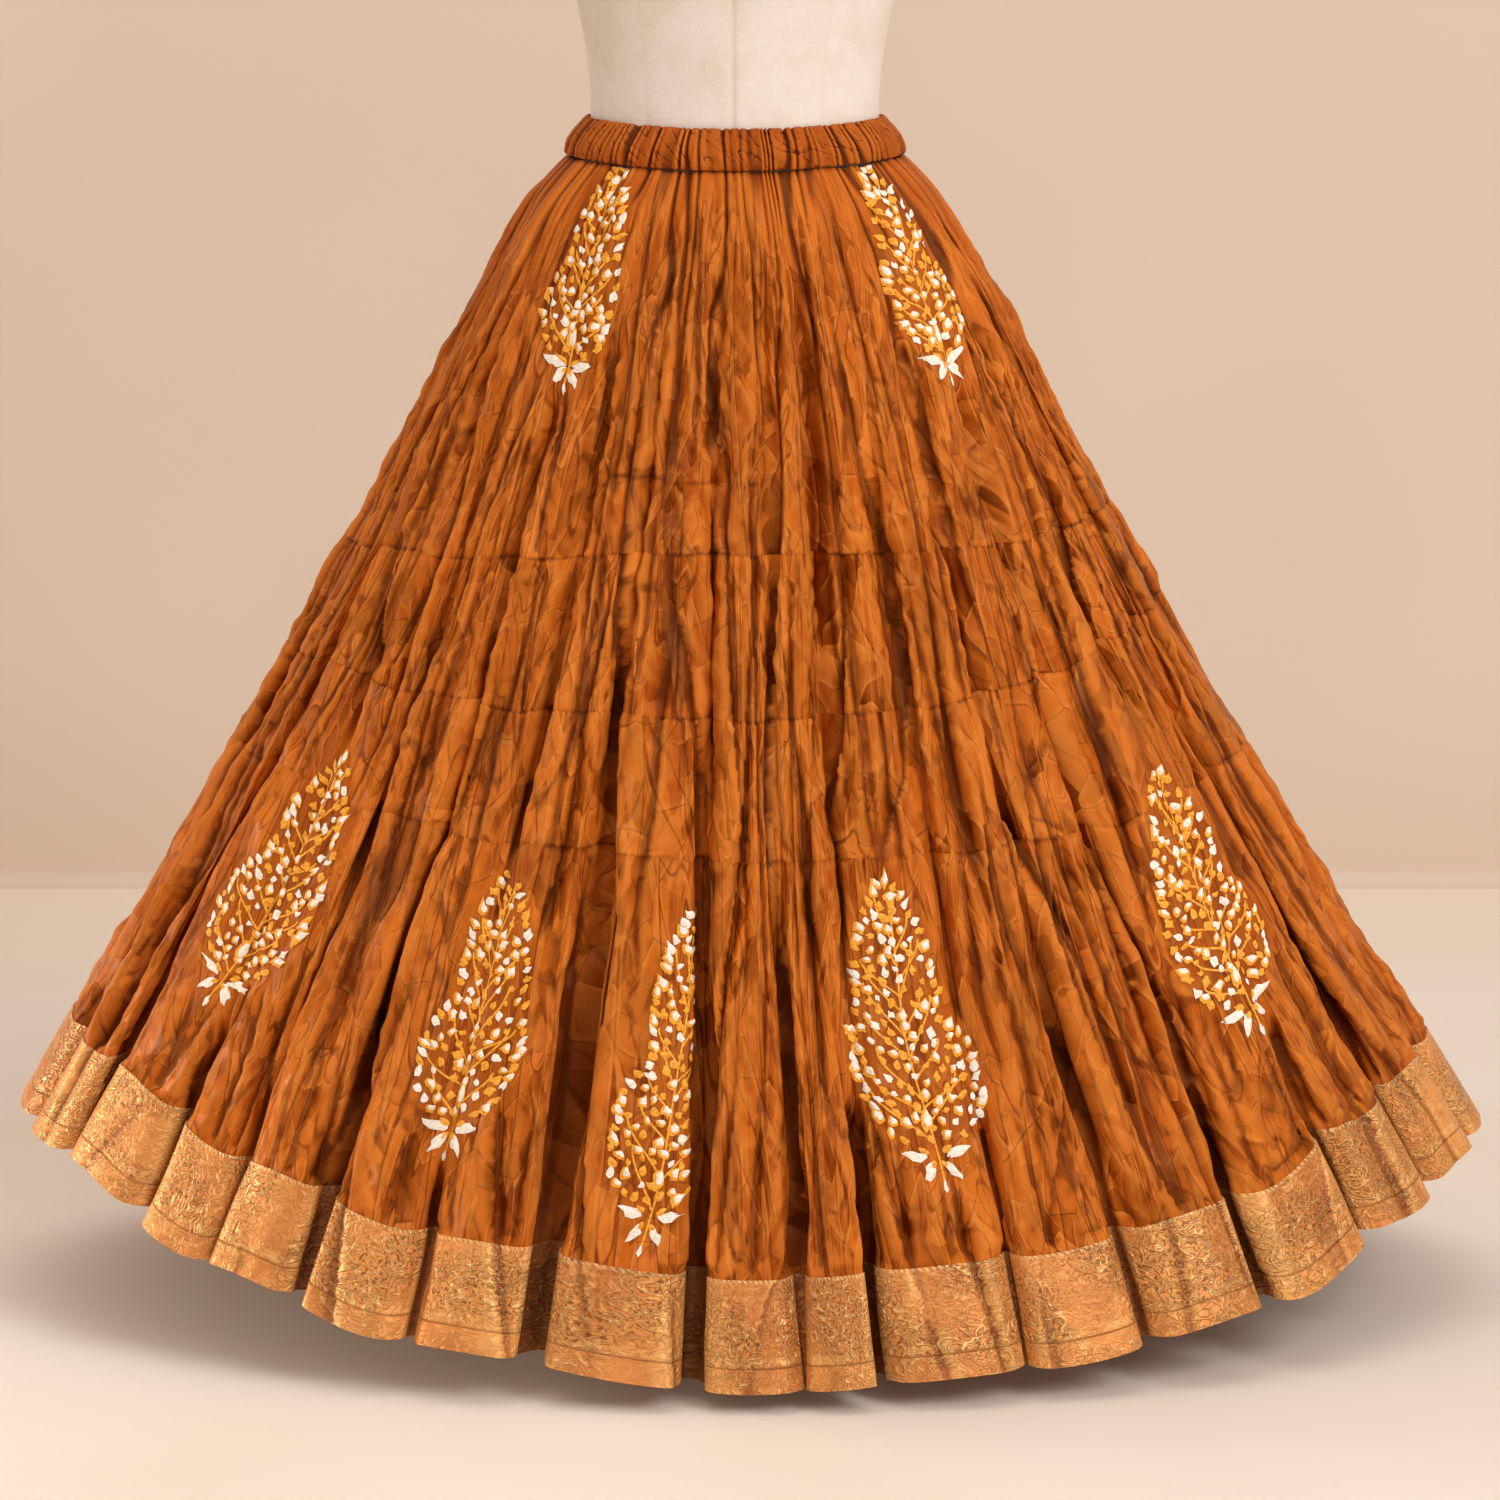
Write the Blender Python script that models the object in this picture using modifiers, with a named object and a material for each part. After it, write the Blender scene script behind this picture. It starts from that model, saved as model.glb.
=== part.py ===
"""A full, gathered lehenga skirt on a limbless dress form with a round foot.

Metres, +Z up. The front faces -Y. The origin is the centre of the foot's underside, on the floor.
The skirt is one gathered waistband, four tiers joined at level seams and a woven border at the hem.
Every cloth piece is a wall on one shared surface, cloth_point(fold, drop), where
  fold  counts the hanging folds round the skirt, from 0 to the number of rows in FOLDS,
  drop  runs down the cloth, from 0 at the waist seam to 1 at the hem.
"""

import math

import bpy
from mathutils import Vector

# Waist, at the seam between the waistband and the cloth
WAIST_HALF_WIDTH = 0.1415
WAIST_HALF_DEPTH = 0.1085
WAIST_SEAM_SIDE_HEIGHT = 0.9706
WAIST_SEAM_FRONT_HEIGHT = 0.9636

# Hem, the ring that the folds hang on
HEM_HALF_WIDTH = 0.6160
HEM_HALF_DEPTH = 0.4000
HEM_SHIFT = 0.0125  # the hem swings this far to +X of the waist

CLOTH_THICKNESS = 0.002  # measured level; about 1.6 mm square to the cloth
SEAM_GAP = 0.0003
CLOTH_LENGTH = 0.98

# Small gathers: they start at the waist seam and run out down the first tier
GATHERS_PER_FOLD = 2
GATHER_DEPTH = 0.0017
GATHER_SWELL = 0.6  # just below the seam the gathers are deeper by this share
GATHER_SWELL_DROP = 0.06
GATHER_FADE_START = 0.03
GATHER_FADE_END = 0.34

# Hanging folds: rounded panels with a narrow valley between each two
FOLD_PANEL_BULGE = 0.007
FOLD_VALLEY_WIDTH = 0.13  # in shares of a fold
FOLD_DEPTH_AT_WAIST = 0.18  # share of the depth at the hem
FOLD_FORMED_DROP = 0.2
VALLEY_CROWDING = 0.07
VALLEYS_SET_DROP = 0.75  # below this the valleys stand at their angles in FOLDS
WAIST_UNEVENNESS = 0.6  # 0 spaces the folds evenly at the waist, 1 as unevenly as at the hem
EVEN_FOLD_SHIFT = -8  # degrees

# Columns of the walls' meshes
COLUMNS_PER_FOLD = 6
COLUMN_STEP = 1 / COLUMNS_PER_FOLD

# How far the cloth has spread towards the hem ring at each drop
PROFILE = [
    {"drop": 0.00, "spread": 0.000},
    {"drop": 0.03, "spread": 0.048},
    {"drop": 0.07, "spread": 0.095},
    {"drop": 0.11, "spread": 0.134},
    {"drop": 0.16, "spread": 0.180},
    {"drop": 0.25, "spread": 0.259},
    {"drop": 0.45, "spread": 0.442},
    {"drop": 0.65, "spread": 0.640},
    {"drop": 0.85, "spread": 0.846},
    {"drop": 1.00, "spread": 1.000},
]

# Hem height in millimetres, by the angle from the front centre towards +X
HEM_HEIGHTS = [
    {"angle": -120, "height": 122},
    {"angle": -90, "height": 167},
    {"angle": -66, "height": 153},
    {"angle": -45, "height": 91},
    {"angle": -27, "height": 46},
    {"angle": 0, "height": 16},
    {"angle": 22, "height": 28},
    {"angle": 45, "height": 60},
    {"angle": 60, "height": 108},
    {"angle": 75, "height": 140},
    {"angle": 90, "height": 150},
    {"angle": 120, "height": 108},
    {"angle": 150, "height": 42},
    {"angle": 180, "height": 18},
    {"angle": 210, "height": 50},
]

# The valley between each two hanging folds, where it meets the hem: the angle from the front centre
# towards +X, the depth in millimetres, and how far the valley leans sideways, as a share of its depth
FOLDS = [
    {"angle": -79, "depth": 14, "lean": 0.2},
    {"angle": -67, "depth": 20, "lean": -0.3},
    {"angle": -55, "depth": 24, "lean": 0.3},
    {"angle": -46, "depth": 10, "lean": 0.0},
    {"angle": -37, "depth": 27, "lean": 0.4},
    {"angle": -27, "depth": 20, "lean": 0.2},
    {"angle": -17, "depth": 36, "lean": 0.3},
    {"angle": -4, "depth": 34, "lean": -0.2},
    {"angle": 4, "depth": 13, "lean": 0.2},
    {"angle": 10, "depth": 33, "lean": -0.3},
    {"angle": 21, "depth": 19, "lean": 0.3},
    {"angle": 32, "depth": 22, "lean": -0.2},
    {"angle": 44, "depth": 36, "lean": -0.4},
    {"angle": 56, "depth": 21, "lean": -0.2},
    {"angle": 67, "depth": 24, "lean": 0.2},
    {"angle": 80, "depth": 15, "lean": -0.1},
    {"angle": 94, "depth": 20, "lean": 0.2},
    {"angle": 107, "depth": 27, "lean": -0.3},
    {"angle": 120, "depth": 18, "lean": 0.2},
    {"angle": 131, "depth": 30, "lean": 0.3},
    {"angle": 145, "depth": 22, "lean": -0.2},
    {"angle": 157, "depth": 34, "lean": -0.3},
    {"angle": 170, "depth": 19, "lean": 0.2},
    {"angle": 181, "depth": 31, "lean": 0.3},
    {"angle": 194, "depth": 16, "lean": -0.1},
    {"angle": 206, "depth": 33, "lean": 0.3},
    {"angle": 219, "depth": 21, "lean": -0.3},
    {"angle": 232, "depth": 28, "lean": 0.2},
    {"angle": 245, "depth": 17, "lean": -0.2},
    {"angle": 258, "depth": 25, "lean": 0.3},
]

# The drop at which each level seam crosses the front, the two sides and the back
SEAMS = {
    "waist": {"front": 0.0, "right": 0.0, "back": 0.0, "left": 0.0},
    "upper": {"front": 0.32, "right": 0.355, "back": 0.33, "left": 0.40},
    "middle": {"front": 0.457, "right": 0.45, "back": 0.465, "left": 0.51},
    "lower": {"front": 0.573, "right": 0.60, "back": 0.58, "left": 0.61},
    "border": {"front": 0.914, "right": 0.911, "back": 0.914, "left": 0.911},
    "hem": {"front": 1.0, "right": 1.0, "back": 1.0, "left": 1.0},
}

# Each cloth piece between two seams, and where its rings lie between them
TIERS = [
    {"name": "tier_1", "top": "waist", "bottom": "upper", "rings": (0, 0.08, 0.22, 0.45, 0.72, 1)},
    {"name": "tier_2", "top": "upper", "bottom": "middle", "rings": (0, 1)},
    {"name": "tier_3", "top": "middle", "bottom": "lower", "rings": (0, 1)},
    {"name": "tier_4", "top": "lower", "bottom": "border", "rings": (0, 0.5, 1)},
    {"name": "hem_border", "top": "border", "bottom": "hem", "rings": (0, 1)},
]

# Waistband: an elastic casing, smooth inside, gathered outside
BAND_GATHERS = 76
BAND_COLUMNS_PER_GATHER = 3
BAND_GATHER_DEPTH = 0.0011
BAND_SCALLOP = 0.0012
BAND_TOP_SIDE_HEIGHT = 1.0010
BAND_TOP_FRONT_HEIGHT = 0.9965
BAND_RINGS = [
    {"rise": 0.0, "half_width": 0.1425, "half_depth": 0.1100, "gathered": 1},
    {"rise": 0.55, "half_width": 0.1345, "half_depth": 0.1055, "gathered": 1},
    {"rise": 1.0, "half_width": 0.1238, "half_depth": 0.0983, "gathered": 1},
    {"rise": 1.0, "half_width": 0.1205, "half_depth": 0.0950, "gathered": 0},
    {"rise": 0.0, "half_width": 0.1390, "half_depth": 0.1065, "gathered": 0},
]

# Dress form: a limbless torso of general size
TORSO_SIDES = 40
TORSO_SECTIONS = [
    {"height": 0.720, "half_width": 0.142, "front": 0.092, "back": 0.108},
    {"height": 0.745, "half_width": 0.156, "front": 0.099, "back": 0.119},
    {"height": 0.800, "half_width": 0.161, "front": 0.102, "back": 0.122},
    {"height": 0.890, "half_width": 0.146, "front": 0.099, "back": 0.108},
    {"height": 0.960, "half_width": 0.1255, "front": 0.0955, "back": 0.0960},
    {"height": 1.003, "half_width": 0.1200, "front": 0.0946, "back": 0.0946},
    {"height": 1.050, "half_width": 0.1230, "front": 0.0975, "back": 0.0950},
    {"height": 1.100, "half_width": 0.1318, "front": 0.1040, "back": 0.0960},
    {"height": 1.160, "half_width": 0.1430, "front": 0.1190, "back": 0.0990},
    {"height": 1.210, "half_width": 0.1520, "front": 0.1270, "back": 0.1020},
    {"height": 1.260, "half_width": 0.1600, "front": 0.1170, "back": 0.1050},
    {"height": 1.315, "half_width": 0.1710, "front": 0.0930, "back": 0.1010},
    {"height": 1.360, "half_width": 0.1780, "front": 0.0740, "back": 0.0880},
    {"height": 1.388, "half_width": 0.1660, "front": 0.0640, "back": 0.0740},
    {"height": 1.406, "half_width": 0.1280, "front": 0.0590, "back": 0.0660},
    {"height": 1.422, "half_width": 0.0860, "front": 0.0550, "back": 0.0600},
    {"height": 1.440, "half_width": 0.0640, "front": 0.0530, "back": 0.0550},
    {"height": 1.462, "half_width": 0.0560, "front": 0.0520, "back": 0.0530},
    {"height": 1.490, "half_width": 0.0540, "front": 0.0520, "back": 0.0520},
]
NECK_CAP_RADIUS = 0.054
NECK_CAP_HEIGHT = 0.022
NECK_CAP_SIDES = 32
POLE_RADIUS = 0.016
POLE_SIDES = 24
FOOT_RADIUS = 0.170
FOOT_HEIGHT = 0.024
FOOT_COLLAR_RADIUS = 0.028
FOOT_COLLAR_HEIGHT = 0.060
FOOT_SIDES = 48

FULL_TURN = 2 * math.pi
MILLIMETRE = 0.001


def clear_scene():
    for thing in list(bpy.data.objects):
        bpy.data.objects.remove(thing, do_unlink=True)


def make_collection(name):
    collection = bpy.data.collections.new(name)
    bpy.context.scene.collection.children.link(collection)
    return collection


def make_material(name, colour, roughness, metallic=0.0):
    material = bpy.data.materials.new(name)
    material.use_nodes = True
    shader = material.node_tree.nodes["Principled BSDF"]
    shader.inputs["Base Color"].default_value = (*colour, 1.0)
    shader.inputs["Roughness"].default_value = roughness
    shader.inputs["Metallic"].default_value = metallic
    return material


def mix(low, high, share):
    return low + (high - low) * share


def soft_step(low, high, value):
    share = min(max((value - low) / (high - low), 0.0), 1.0)
    return share * share * (3 - 2 * share)


def spread_at(drop):
    """Share of the way from the waist ring to the hem ring, read from PROFILE."""
    for above, below in zip(PROFILE, PROFILE[1:]):
        if drop <= below["drop"]:
            share = (drop - above["drop"]) / (below["drop"] - above["drop"])
            return mix(above["spread"], below["spread"], share)
    return 1.0


def hem_height(angle):
    """Height of the hem above the floor at an angle in degrees, eased between the rows of HEM_HEIGHTS."""
    first = HEM_HEIGHTS[0]["angle"]
    angle = (angle - first) % 360 + first
    rows = HEM_HEIGHTS + [{"angle": first + 360, "height": HEM_HEIGHTS[0]["height"]}]
    for here, after in zip(rows, rows[1:]):
        if angle <= after["angle"]:
            share = soft_step(here["angle"], after["angle"], angle)
            return mix(here["height"], after["height"], share) * MILLIMETRE
    return HEM_HEIGHTS[0]["height"] * MILLIMETRE


def between_folds(fold):
    """The fold's two neighbouring valleys and the share of the way from one to the next."""
    index = math.floor(fold) % len(FOLDS)
    here = FOLDS[index]
    after = dict(FOLDS[(index + 1) % len(FOLDS)])
    if after["angle"] < here["angle"]:
        after["angle"] += 360
    return here, after, fold - math.floor(fold)


def angle_at(fold, drop):
    """Angle in degrees from the front centre: folds are nearly even at the waist, uneven at the hem."""
    here, after, share = between_folds(fold)
    crowded = share - VALLEY_CROWDING * math.sin(FULL_TURN * share)
    at_hem = mix(here["angle"], after["angle"], crowded)
    even = FOLDS[0]["angle"] + EVEN_FOLD_SHIFT + 360 * (fold % len(FOLDS)) / len(FOLDS)
    uneven = mix(here["angle"], after["angle"], share)
    at_waist = mix(even, uneven, WAIST_UNEVENNESS)
    return mix(at_waist, at_hem, soft_step(0.0, VALLEYS_SET_DROP, drop))


def fold_offset(fold, drop):
    """How far the cloth lies outside its ring, and how far it leans sideways, both in metres."""
    here, after, share = between_folds(fold)
    grown = soft_step(0.0, FOLD_FORMED_DROP, drop) * mix(FOLD_DEPTH_AT_WAIST, 1.0, drop)
    near_here = math.exp(-((share / FOLD_VALLEY_WIDTH) ** 2))
    near_after = math.exp(-(((1 - share) / FOLD_VALLEY_WIDTH) ** 2))
    depth_here = here["depth"] * MILLIMETRE * near_here * grown
    depth_after = after["depth"] * MILLIMETRE * near_after * grown
    bulge = FOLD_PANEL_BULGE * grown * math.sin(math.pi * share)
    swell = 1 + GATHER_SWELL * soft_step(0.0, GATHER_SWELL_DROP, drop)
    fade = 1 - soft_step(GATHER_FADE_START, GATHER_FADE_END, drop)
    ripple = GATHER_DEPTH * swell * fade * math.cos(FULL_TURN * GATHERS_PER_FOLD * share)
    lean = depth_here * here["lean"] + depth_after * after["lean"]
    return bulge + ripple - depth_here - depth_after, lean


def ellipse_point(angle, half_width, half_depth, outward=0.0, sideways=0.0):
    """A point in plan at an angle in degrees from the front centre, moved off the ellipse."""
    turn = math.radians(angle)
    x = half_width * math.sin(turn)
    y = -half_depth * math.cos(turn)
    normal_x = math.sin(turn) / half_width
    normal_y = -math.cos(turn) / half_depth
    length = math.hypot(normal_x, normal_y)
    normal_x /= length
    normal_y /= length
    return x + normal_x * outward - normal_y * sideways, y + normal_y * outward + normal_x * sideways


def waist_seam_height(angle):
    sideways = math.sin(math.radians(angle)) ** 2
    return mix(WAIST_SEAM_FRONT_HEIGHT, WAIST_SEAM_SIDE_HEIGHT, sideways)


def cloth_point(fold, drop):
    """The outer face of the skirt's cloth."""
    angle = angle_at(fold, drop)
    spread = spread_at(drop)
    outward, sideways = fold_offset(fold, drop)
    half_width = mix(WAIST_HALF_WIDTH, HEM_HALF_WIDTH, spread)
    half_depth = mix(WAIST_HALF_DEPTH, HEM_HALF_DEPTH, spread)
    x, y = ellipse_point(angle, half_width, half_depth, outward, sideways)
    height = mix(waist_seam_height(angle), hem_height(angle), drop)
    return Vector((x + HEM_SHIFT * drop, y, height))


def lining_point(fold, drop):
    """The inner face of the cloth: its outer face moved level inwards by the wall's thickness."""
    across = cloth_point(fold + COLUMN_STEP, drop) - cloth_point(fold - COLUMN_STEP, drop)
    inwards = Vector((-across.y, across.x, 0.0)).normalized()
    return cloth_point(fold, drop) + inwards * CLOTH_THICKNESS


def seam_drop(name, fold):
    """The drop of a level seam where it crosses a fold."""
    seam = SEAMS[name]
    turn = math.radians(angle_at(fold, seam["front"]))
    side = seam["right"] if math.sin(turn) > 0 else seam["left"]
    middle = seam["front"] if math.cos(turn) > 0 else seam["back"]
    return mix(middle, side, math.sin(turn) ** 2)


def link_mesh(name, points, faces, collection, material):
    mesh = bpy.data.meshes.new(name)
    mesh.from_pydata(points, [], faces)
    mesh.update()
    piece = bpy.data.objects.new(name, mesh)
    piece.data.materials.append(material)
    collection.objects.link(piece)
    mesh.shade_smooth()
    return piece


def ring_faces(rings, columns, closed=False):
    """Quads between neighbouring rings, facing out when the rings run from the top down."""
    faces = []
    for ring in range(rings if closed else rings - 1):
        above = ring * columns
        below = (ring + 1) % rings * columns
        for column in range(columns):
            after = (column + 1) % columns
            quad = (above + column, below + column, below + after, above + after)
            if ring == rings - 1:
                # The closing rim is split along the same diagonal as the rim that it faces
                quad = quad[1:] + quad[:1]
            faces.append(quad)
    return faces


def make_tier(row, collection, material):
    """A closed loft between two seams: rings down the outer face of the cloth and up its inner face."""
    columns = len(FOLDS) * COLUMNS_PER_FOLD
    gap = SEAM_GAP / CLOTH_LENGTH
    outer = []
    inner = []
    for share in row["rings"]:
        outer_ring = []
        inner_ring = []
        for column in range(columns):
            fold = column * COLUMN_STEP
            drop = mix(seam_drop(row["top"], fold) + gap, seam_drop(row["bottom"], fold), share)
            outer_ring.append(cloth_point(fold, drop))
            inner_ring.append(lining_point(fold, drop))
        outer.append(outer_ring)
        inner.append(inner_ring)
    rings = outer + inner[::-1]
    points = [point for ring in rings for point in ring]
    faces = ring_faces(len(rings), columns, closed=True)
    return link_mesh(row["name"], points, faces, collection, material)


def make_waistband(collection, material):
    """A closed loft: three gathered rings up the outside, two smooth ones down the inside."""
    columns = BAND_GATHERS * BAND_COLUMNS_PER_GATHER
    points = []
    for ring in reversed(BAND_RINGS):
        for column in range(columns):
            angle = 360 * column / columns
            wave = math.cos(FULL_TURN * column / BAND_COLUMNS_PER_GATHER) * ring["gathered"]
            outward = BAND_GATHER_DEPTH * wave
            x, y = ellipse_point(angle, ring["half_width"], ring["half_depth"], outward)
            seam = waist_seam_height(angle)
            sideways = math.sin(math.radians(angle)) ** 2
            top = mix(BAND_TOP_FRONT_HEIGHT, BAND_TOP_SIDE_HEIGHT, sideways)
            scallop = BAND_SCALLOP * wave * ring["rise"]
            points.append((x, y, mix(seam, top, ring["rise"]) + scallop))
    faces = ring_faces(len(BAND_RINGS), columns, closed=True)
    return link_mesh("waistband", points, faces, collection, material)


def make_torso(collection, material):
    """The dress form's body: a loft of oval sections with flat ends."""
    points = []
    for section in reversed(TORSO_SECTIONS):
        for side in range(TORSO_SIDES):
            turn = FULL_TURN * side / TORSO_SIDES
            depth = section["front"] if math.cos(turn) > 0 else section["back"]
            x = section["half_width"] * math.sin(turn)
            points.append((x, -depth * math.cos(turn), section["height"]))
    faces = ring_faces(len(TORSO_SECTIONS), TORSO_SIDES)
    faces.append(tuple(range(TORSO_SIDES)))
    last = (len(TORSO_SECTIONS) - 1) * TORSO_SIDES
    faces.append(tuple(last + side for side in reversed(range(TORSO_SIDES))))
    return link_mesh("form_torso", points, faces, collection, material)


def make_turned(name, outline, sides, collection, material):
    """A turned solid: (radius, height) points from the top down, spun about the vertical axis."""
    mesh = bpy.data.meshes.new(name)
    points = [(radius, 0.0, height) for radius, height in outline]
    mesh.from_pydata(points, [(index, index + 1) for index in range(len(points) - 1)], [])
    piece = bpy.data.objects.new(name, mesh)
    piece.data.materials.append(material)
    collection.objects.link(piece)
    spin = piece.modifiers.new("turn", "SCREW")
    spin.steps = sides
    spin.render_steps = sides
    spin.use_merge_vertices = True
    spin.merge_threshold = 0.0001
    return piece


def make_neck_cap(collection, material):
    bottom = TORSO_SECTIONS[-1]["height"] + SEAM_GAP
    outline = [
        (0.0, bottom + NECK_CAP_HEIGHT),
        (NECK_CAP_RADIUS * 0.55, bottom + NECK_CAP_HEIGHT * 0.92),
        (NECK_CAP_RADIUS * 0.88, bottom + NECK_CAP_HEIGHT * 0.68),
        (NECK_CAP_RADIUS, bottom + NECK_CAP_HEIGHT * 0.35),
        (NECK_CAP_RADIUS, bottom),
        (0.0, bottom),
    ]
    return make_turned("form_neck_cap", outline, NECK_CAP_SIDES, collection, material)


def make_foot(collection, material):
    """A weighted disc with a low crown and the collar that holds the pole."""
    outline = [
        (0.0, FOOT_COLLAR_HEIGHT),
        (FOOT_COLLAR_RADIUS * 0.85, FOOT_COLLAR_HEIGHT),
        (FOOT_COLLAR_RADIUS, FOOT_COLLAR_HEIGHT - 0.004),
        (FOOT_COLLAR_RADIUS, FOOT_HEIGHT + 0.004),
        (FOOT_COLLAR_RADIUS * 1.3, FOOT_HEIGHT),
        (FOOT_RADIUS * 0.90, FOOT_HEIGHT * 0.62),
        (FOOT_RADIUS, FOOT_HEIGHT * 0.36),
        (FOOT_RADIUS, 0.0),
        (0.0, 0.0),
    ]
    return make_turned("stand_foot", outline, FOOT_SIDES, collection, material)


def make_pole(collection, material):
    bottom = FOOT_COLLAR_HEIGHT + SEAM_GAP
    top = TORSO_SECTIONS[0]["height"] - SEAM_GAP
    bpy.ops.mesh.primitive_cylinder_add(
        vertices=POLE_SIDES, radius=POLE_RADIUS, depth=top - bottom, location=(0, 0, (top + bottom) / 2)
    )
    pole = bpy.context.object
    pole.name = "stand_pole"
    pole.data.materials.append(material)
    for owner in list(pole.users_collection):
        owner.objects.unlink(pole)
    collection.objects.link(pole)
    return pole


def main():
    clear_scene()
    collection = make_collection("lehenga skirt on dress form")
    rust = make_material("rust crinkled cotton", (0.49, 0.16, 0.035), 0.62)
    zari = make_material("copper gold brocade", (0.58, 0.30, 0.11), 0.42, 0.35)
    linen = make_material("cream linen", (0.84, 0.74, 0.60), 0.9)
    wood = make_material("pale wood", (0.52, 0.36, 0.20), 0.5)
    steel = make_material("satin steel", (0.55, 0.54, 0.52), 0.35, 1.0)
    make_waistband(collection, rust)
    for row in TIERS:
        make_tier(row, collection, zari if row["name"] == "hem_border" else rust)
    make_torso(collection, linen)
    make_neck_cap(collection, wood)
    make_pole(collection, steel)
    make_foot(collection, steel)


main()
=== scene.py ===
"""The looks of a full, gathered lehenga skirt on a limbless dress form.

Metres, +Z up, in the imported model's own frame: the front faces -Y and the floor is at z = 0.
Every cloth piece is a thin shell on one surface, cloth_points(fold, drop), the one that its solid has, where
  fold  counts the hanging folds round the skirt, from 0 to the number of rows in FOLDS,
  drop  runs down the cloth, from 0 at the waist seam to 1 at the hem.
The crushed cloth's creases are added square to that surface.
"""

import math
from collections import namedtuple

import bpy
import numpy as np
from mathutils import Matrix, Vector


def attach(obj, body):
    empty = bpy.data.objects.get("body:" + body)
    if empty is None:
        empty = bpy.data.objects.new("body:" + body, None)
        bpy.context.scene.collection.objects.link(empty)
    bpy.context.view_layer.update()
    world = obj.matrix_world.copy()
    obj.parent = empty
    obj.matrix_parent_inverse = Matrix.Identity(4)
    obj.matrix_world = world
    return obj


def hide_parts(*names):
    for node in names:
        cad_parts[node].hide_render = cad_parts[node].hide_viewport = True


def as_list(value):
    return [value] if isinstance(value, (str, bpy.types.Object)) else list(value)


# ---------------------------------------------------------------- the skirt's form, as its solids have it

WAIST_HALF_WIDTH = 0.1415
WAIST_HALF_DEPTH = 0.1085
WAIST_SEAM_SIDE_HEIGHT = 0.9706
WAIST_SEAM_FRONT_HEIGHT = 0.9636
HEM_HALF_WIDTH = 0.6160
HEM_HALF_DEPTH = 0.4000
HEM_SHIFT = 0.0125
CLOTH_LENGTH = 0.98

FOLD_PANEL_BULGE = 0.007
FOLD_VALLEY_WIDTH = 0.13
FOLD_DEPTH_AT_WAIST = 0.18
FOLD_FORMED_DROP = 0.2
VALLEY_CROWDING = 0.07
VALLEYS_SET_DROP = 0.75
WAIST_UNEVENNESS = 0.6
EVEN_FOLD_SHIFT = -8

# How far the cloth has spread towards the hem ring at each drop
PROFILE_DROPS = np.array([0, 0.03, 0.07, 0.11, 0.16, 0.25, 0.45, 0.65, 0.85, 1.0])
PROFILE_SPREADS = np.array([0, 0.048, 0.095, 0.134, 0.180, 0.259, 0.442, 0.640, 0.846, 1.0])

# Hem height in millimetres, by the angle from the front centre towards +X
HEM_HEIGHTS = [
    (-120, 122), (-90, 167), (-66, 153), (-45, 91), (-27, 46), (0, 16), (22, 28), (45, 60),
    (60, 108), (75, 140), (90, 150), (120, 108), (150, 42), (180, 18), (210, 50),
]

# The valley between each two hanging folds: angle in degrees at the hem, depth in millimetres, lean
FOLDS = np.array([
    (-79, 14, 0.2), (-67, 20, -0.3), (-55, 24, 0.3), (-46, 10, 0.0), (-37, 27, 0.4), (-27, 20, 0.2),
    (-17, 36, 0.3), (-4, 34, -0.2), (4, 13, 0.2), (10, 33, -0.3), (21, 19, 0.3), (32, 22, -0.2),
    (44, 36, -0.4), (56, 21, -0.2), (67, 24, 0.2), (80, 15, -0.1), (94, 20, 0.2), (107, 27, -0.3),
    (120, 18, 0.2), (131, 30, 0.3), (145, 22, -0.2), (157, 34, -0.3), (170, 19, 0.2), (181, 31, 0.3),
    (194, 16, -0.1), (206, 33, 0.3), (219, 21, -0.3), (232, 28, 0.2), (245, 17, -0.2), (258, 25, 0.3),
])
FOLD_COUNT = len(FOLDS)
FIRST_FOLD = 23  # the pieces' meshes and maps start and end in this valley, at the back

# The drop at which each level seam crosses the front, the right, the back and the left
SEAMS = {
    "waist": (0.0, 0.0, 0.0, 0.0),
    "upper": (0.32, 0.355, 0.33, 0.40),
    "middle": (0.457, 0.45, 0.465, 0.51),
    "lower": (0.573, 0.60, 0.58, 0.61),
    "border": (0.914, 0.911, 0.914, 0.911),
    "hem": (1.0, 1.0, 1.0, 1.0),
}

BAND_RINGS = {"rise": (0, 0.55, 1), "half_width": (0.1425, 0.1345, 0.1238), "half_depth": (0.1100, 0.1055, 0.0983)}
BAND_TOP_SIDE_HEIGHT = 1.0010
BAND_TOP_FRONT_HEIGHT = 0.9965

MILLIMETRE = 0.001
FULL_TURN = 2 * math.pi

# ---------------------------------------------------------------- small helpers


def mix(low, high, share):
    return low + (high - low) * share


def soft_step(low, high, value):
    share = np.clip((value - low) / (high - low), 0.0, 1.0)
    return share * share * (3 - 2 * share)


def bell(value, width):
    """1 at zero, falling smoothly to nothing by about two widths each way."""
    return np.exp(-((value / width) ** 2))


def smooth_curve(knots, values, at):
    """A smooth curve through the knots, whose slope at each is the slope between its neighbours."""
    slopes = np.gradient(values, knots)
    index = np.clip(np.searchsorted(knots, at, side="right") - 1, 0, len(knots) - 2)
    step = knots[index + 1] - knots[index]
    t = (at - knots[index]) / step
    start = (1 + 2 * t) * (1 - t) ** 2 * values[index] + t * (1 - t) ** 2 * step * slopes[index]
    end = t * t * (3 - 2 * t) * values[index + 1] - t * t * (1 - t) * step * slopes[index + 1]
    return start + end


def unit(vectors):
    return vectors / np.maximum(np.linalg.norm(vectors, axis=-1, keepdims=True), 1e-12)


NOISE_FIRST_ROW = -16  # the noise reaches this many rows of cells above zero, for creases that slant upwards


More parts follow.
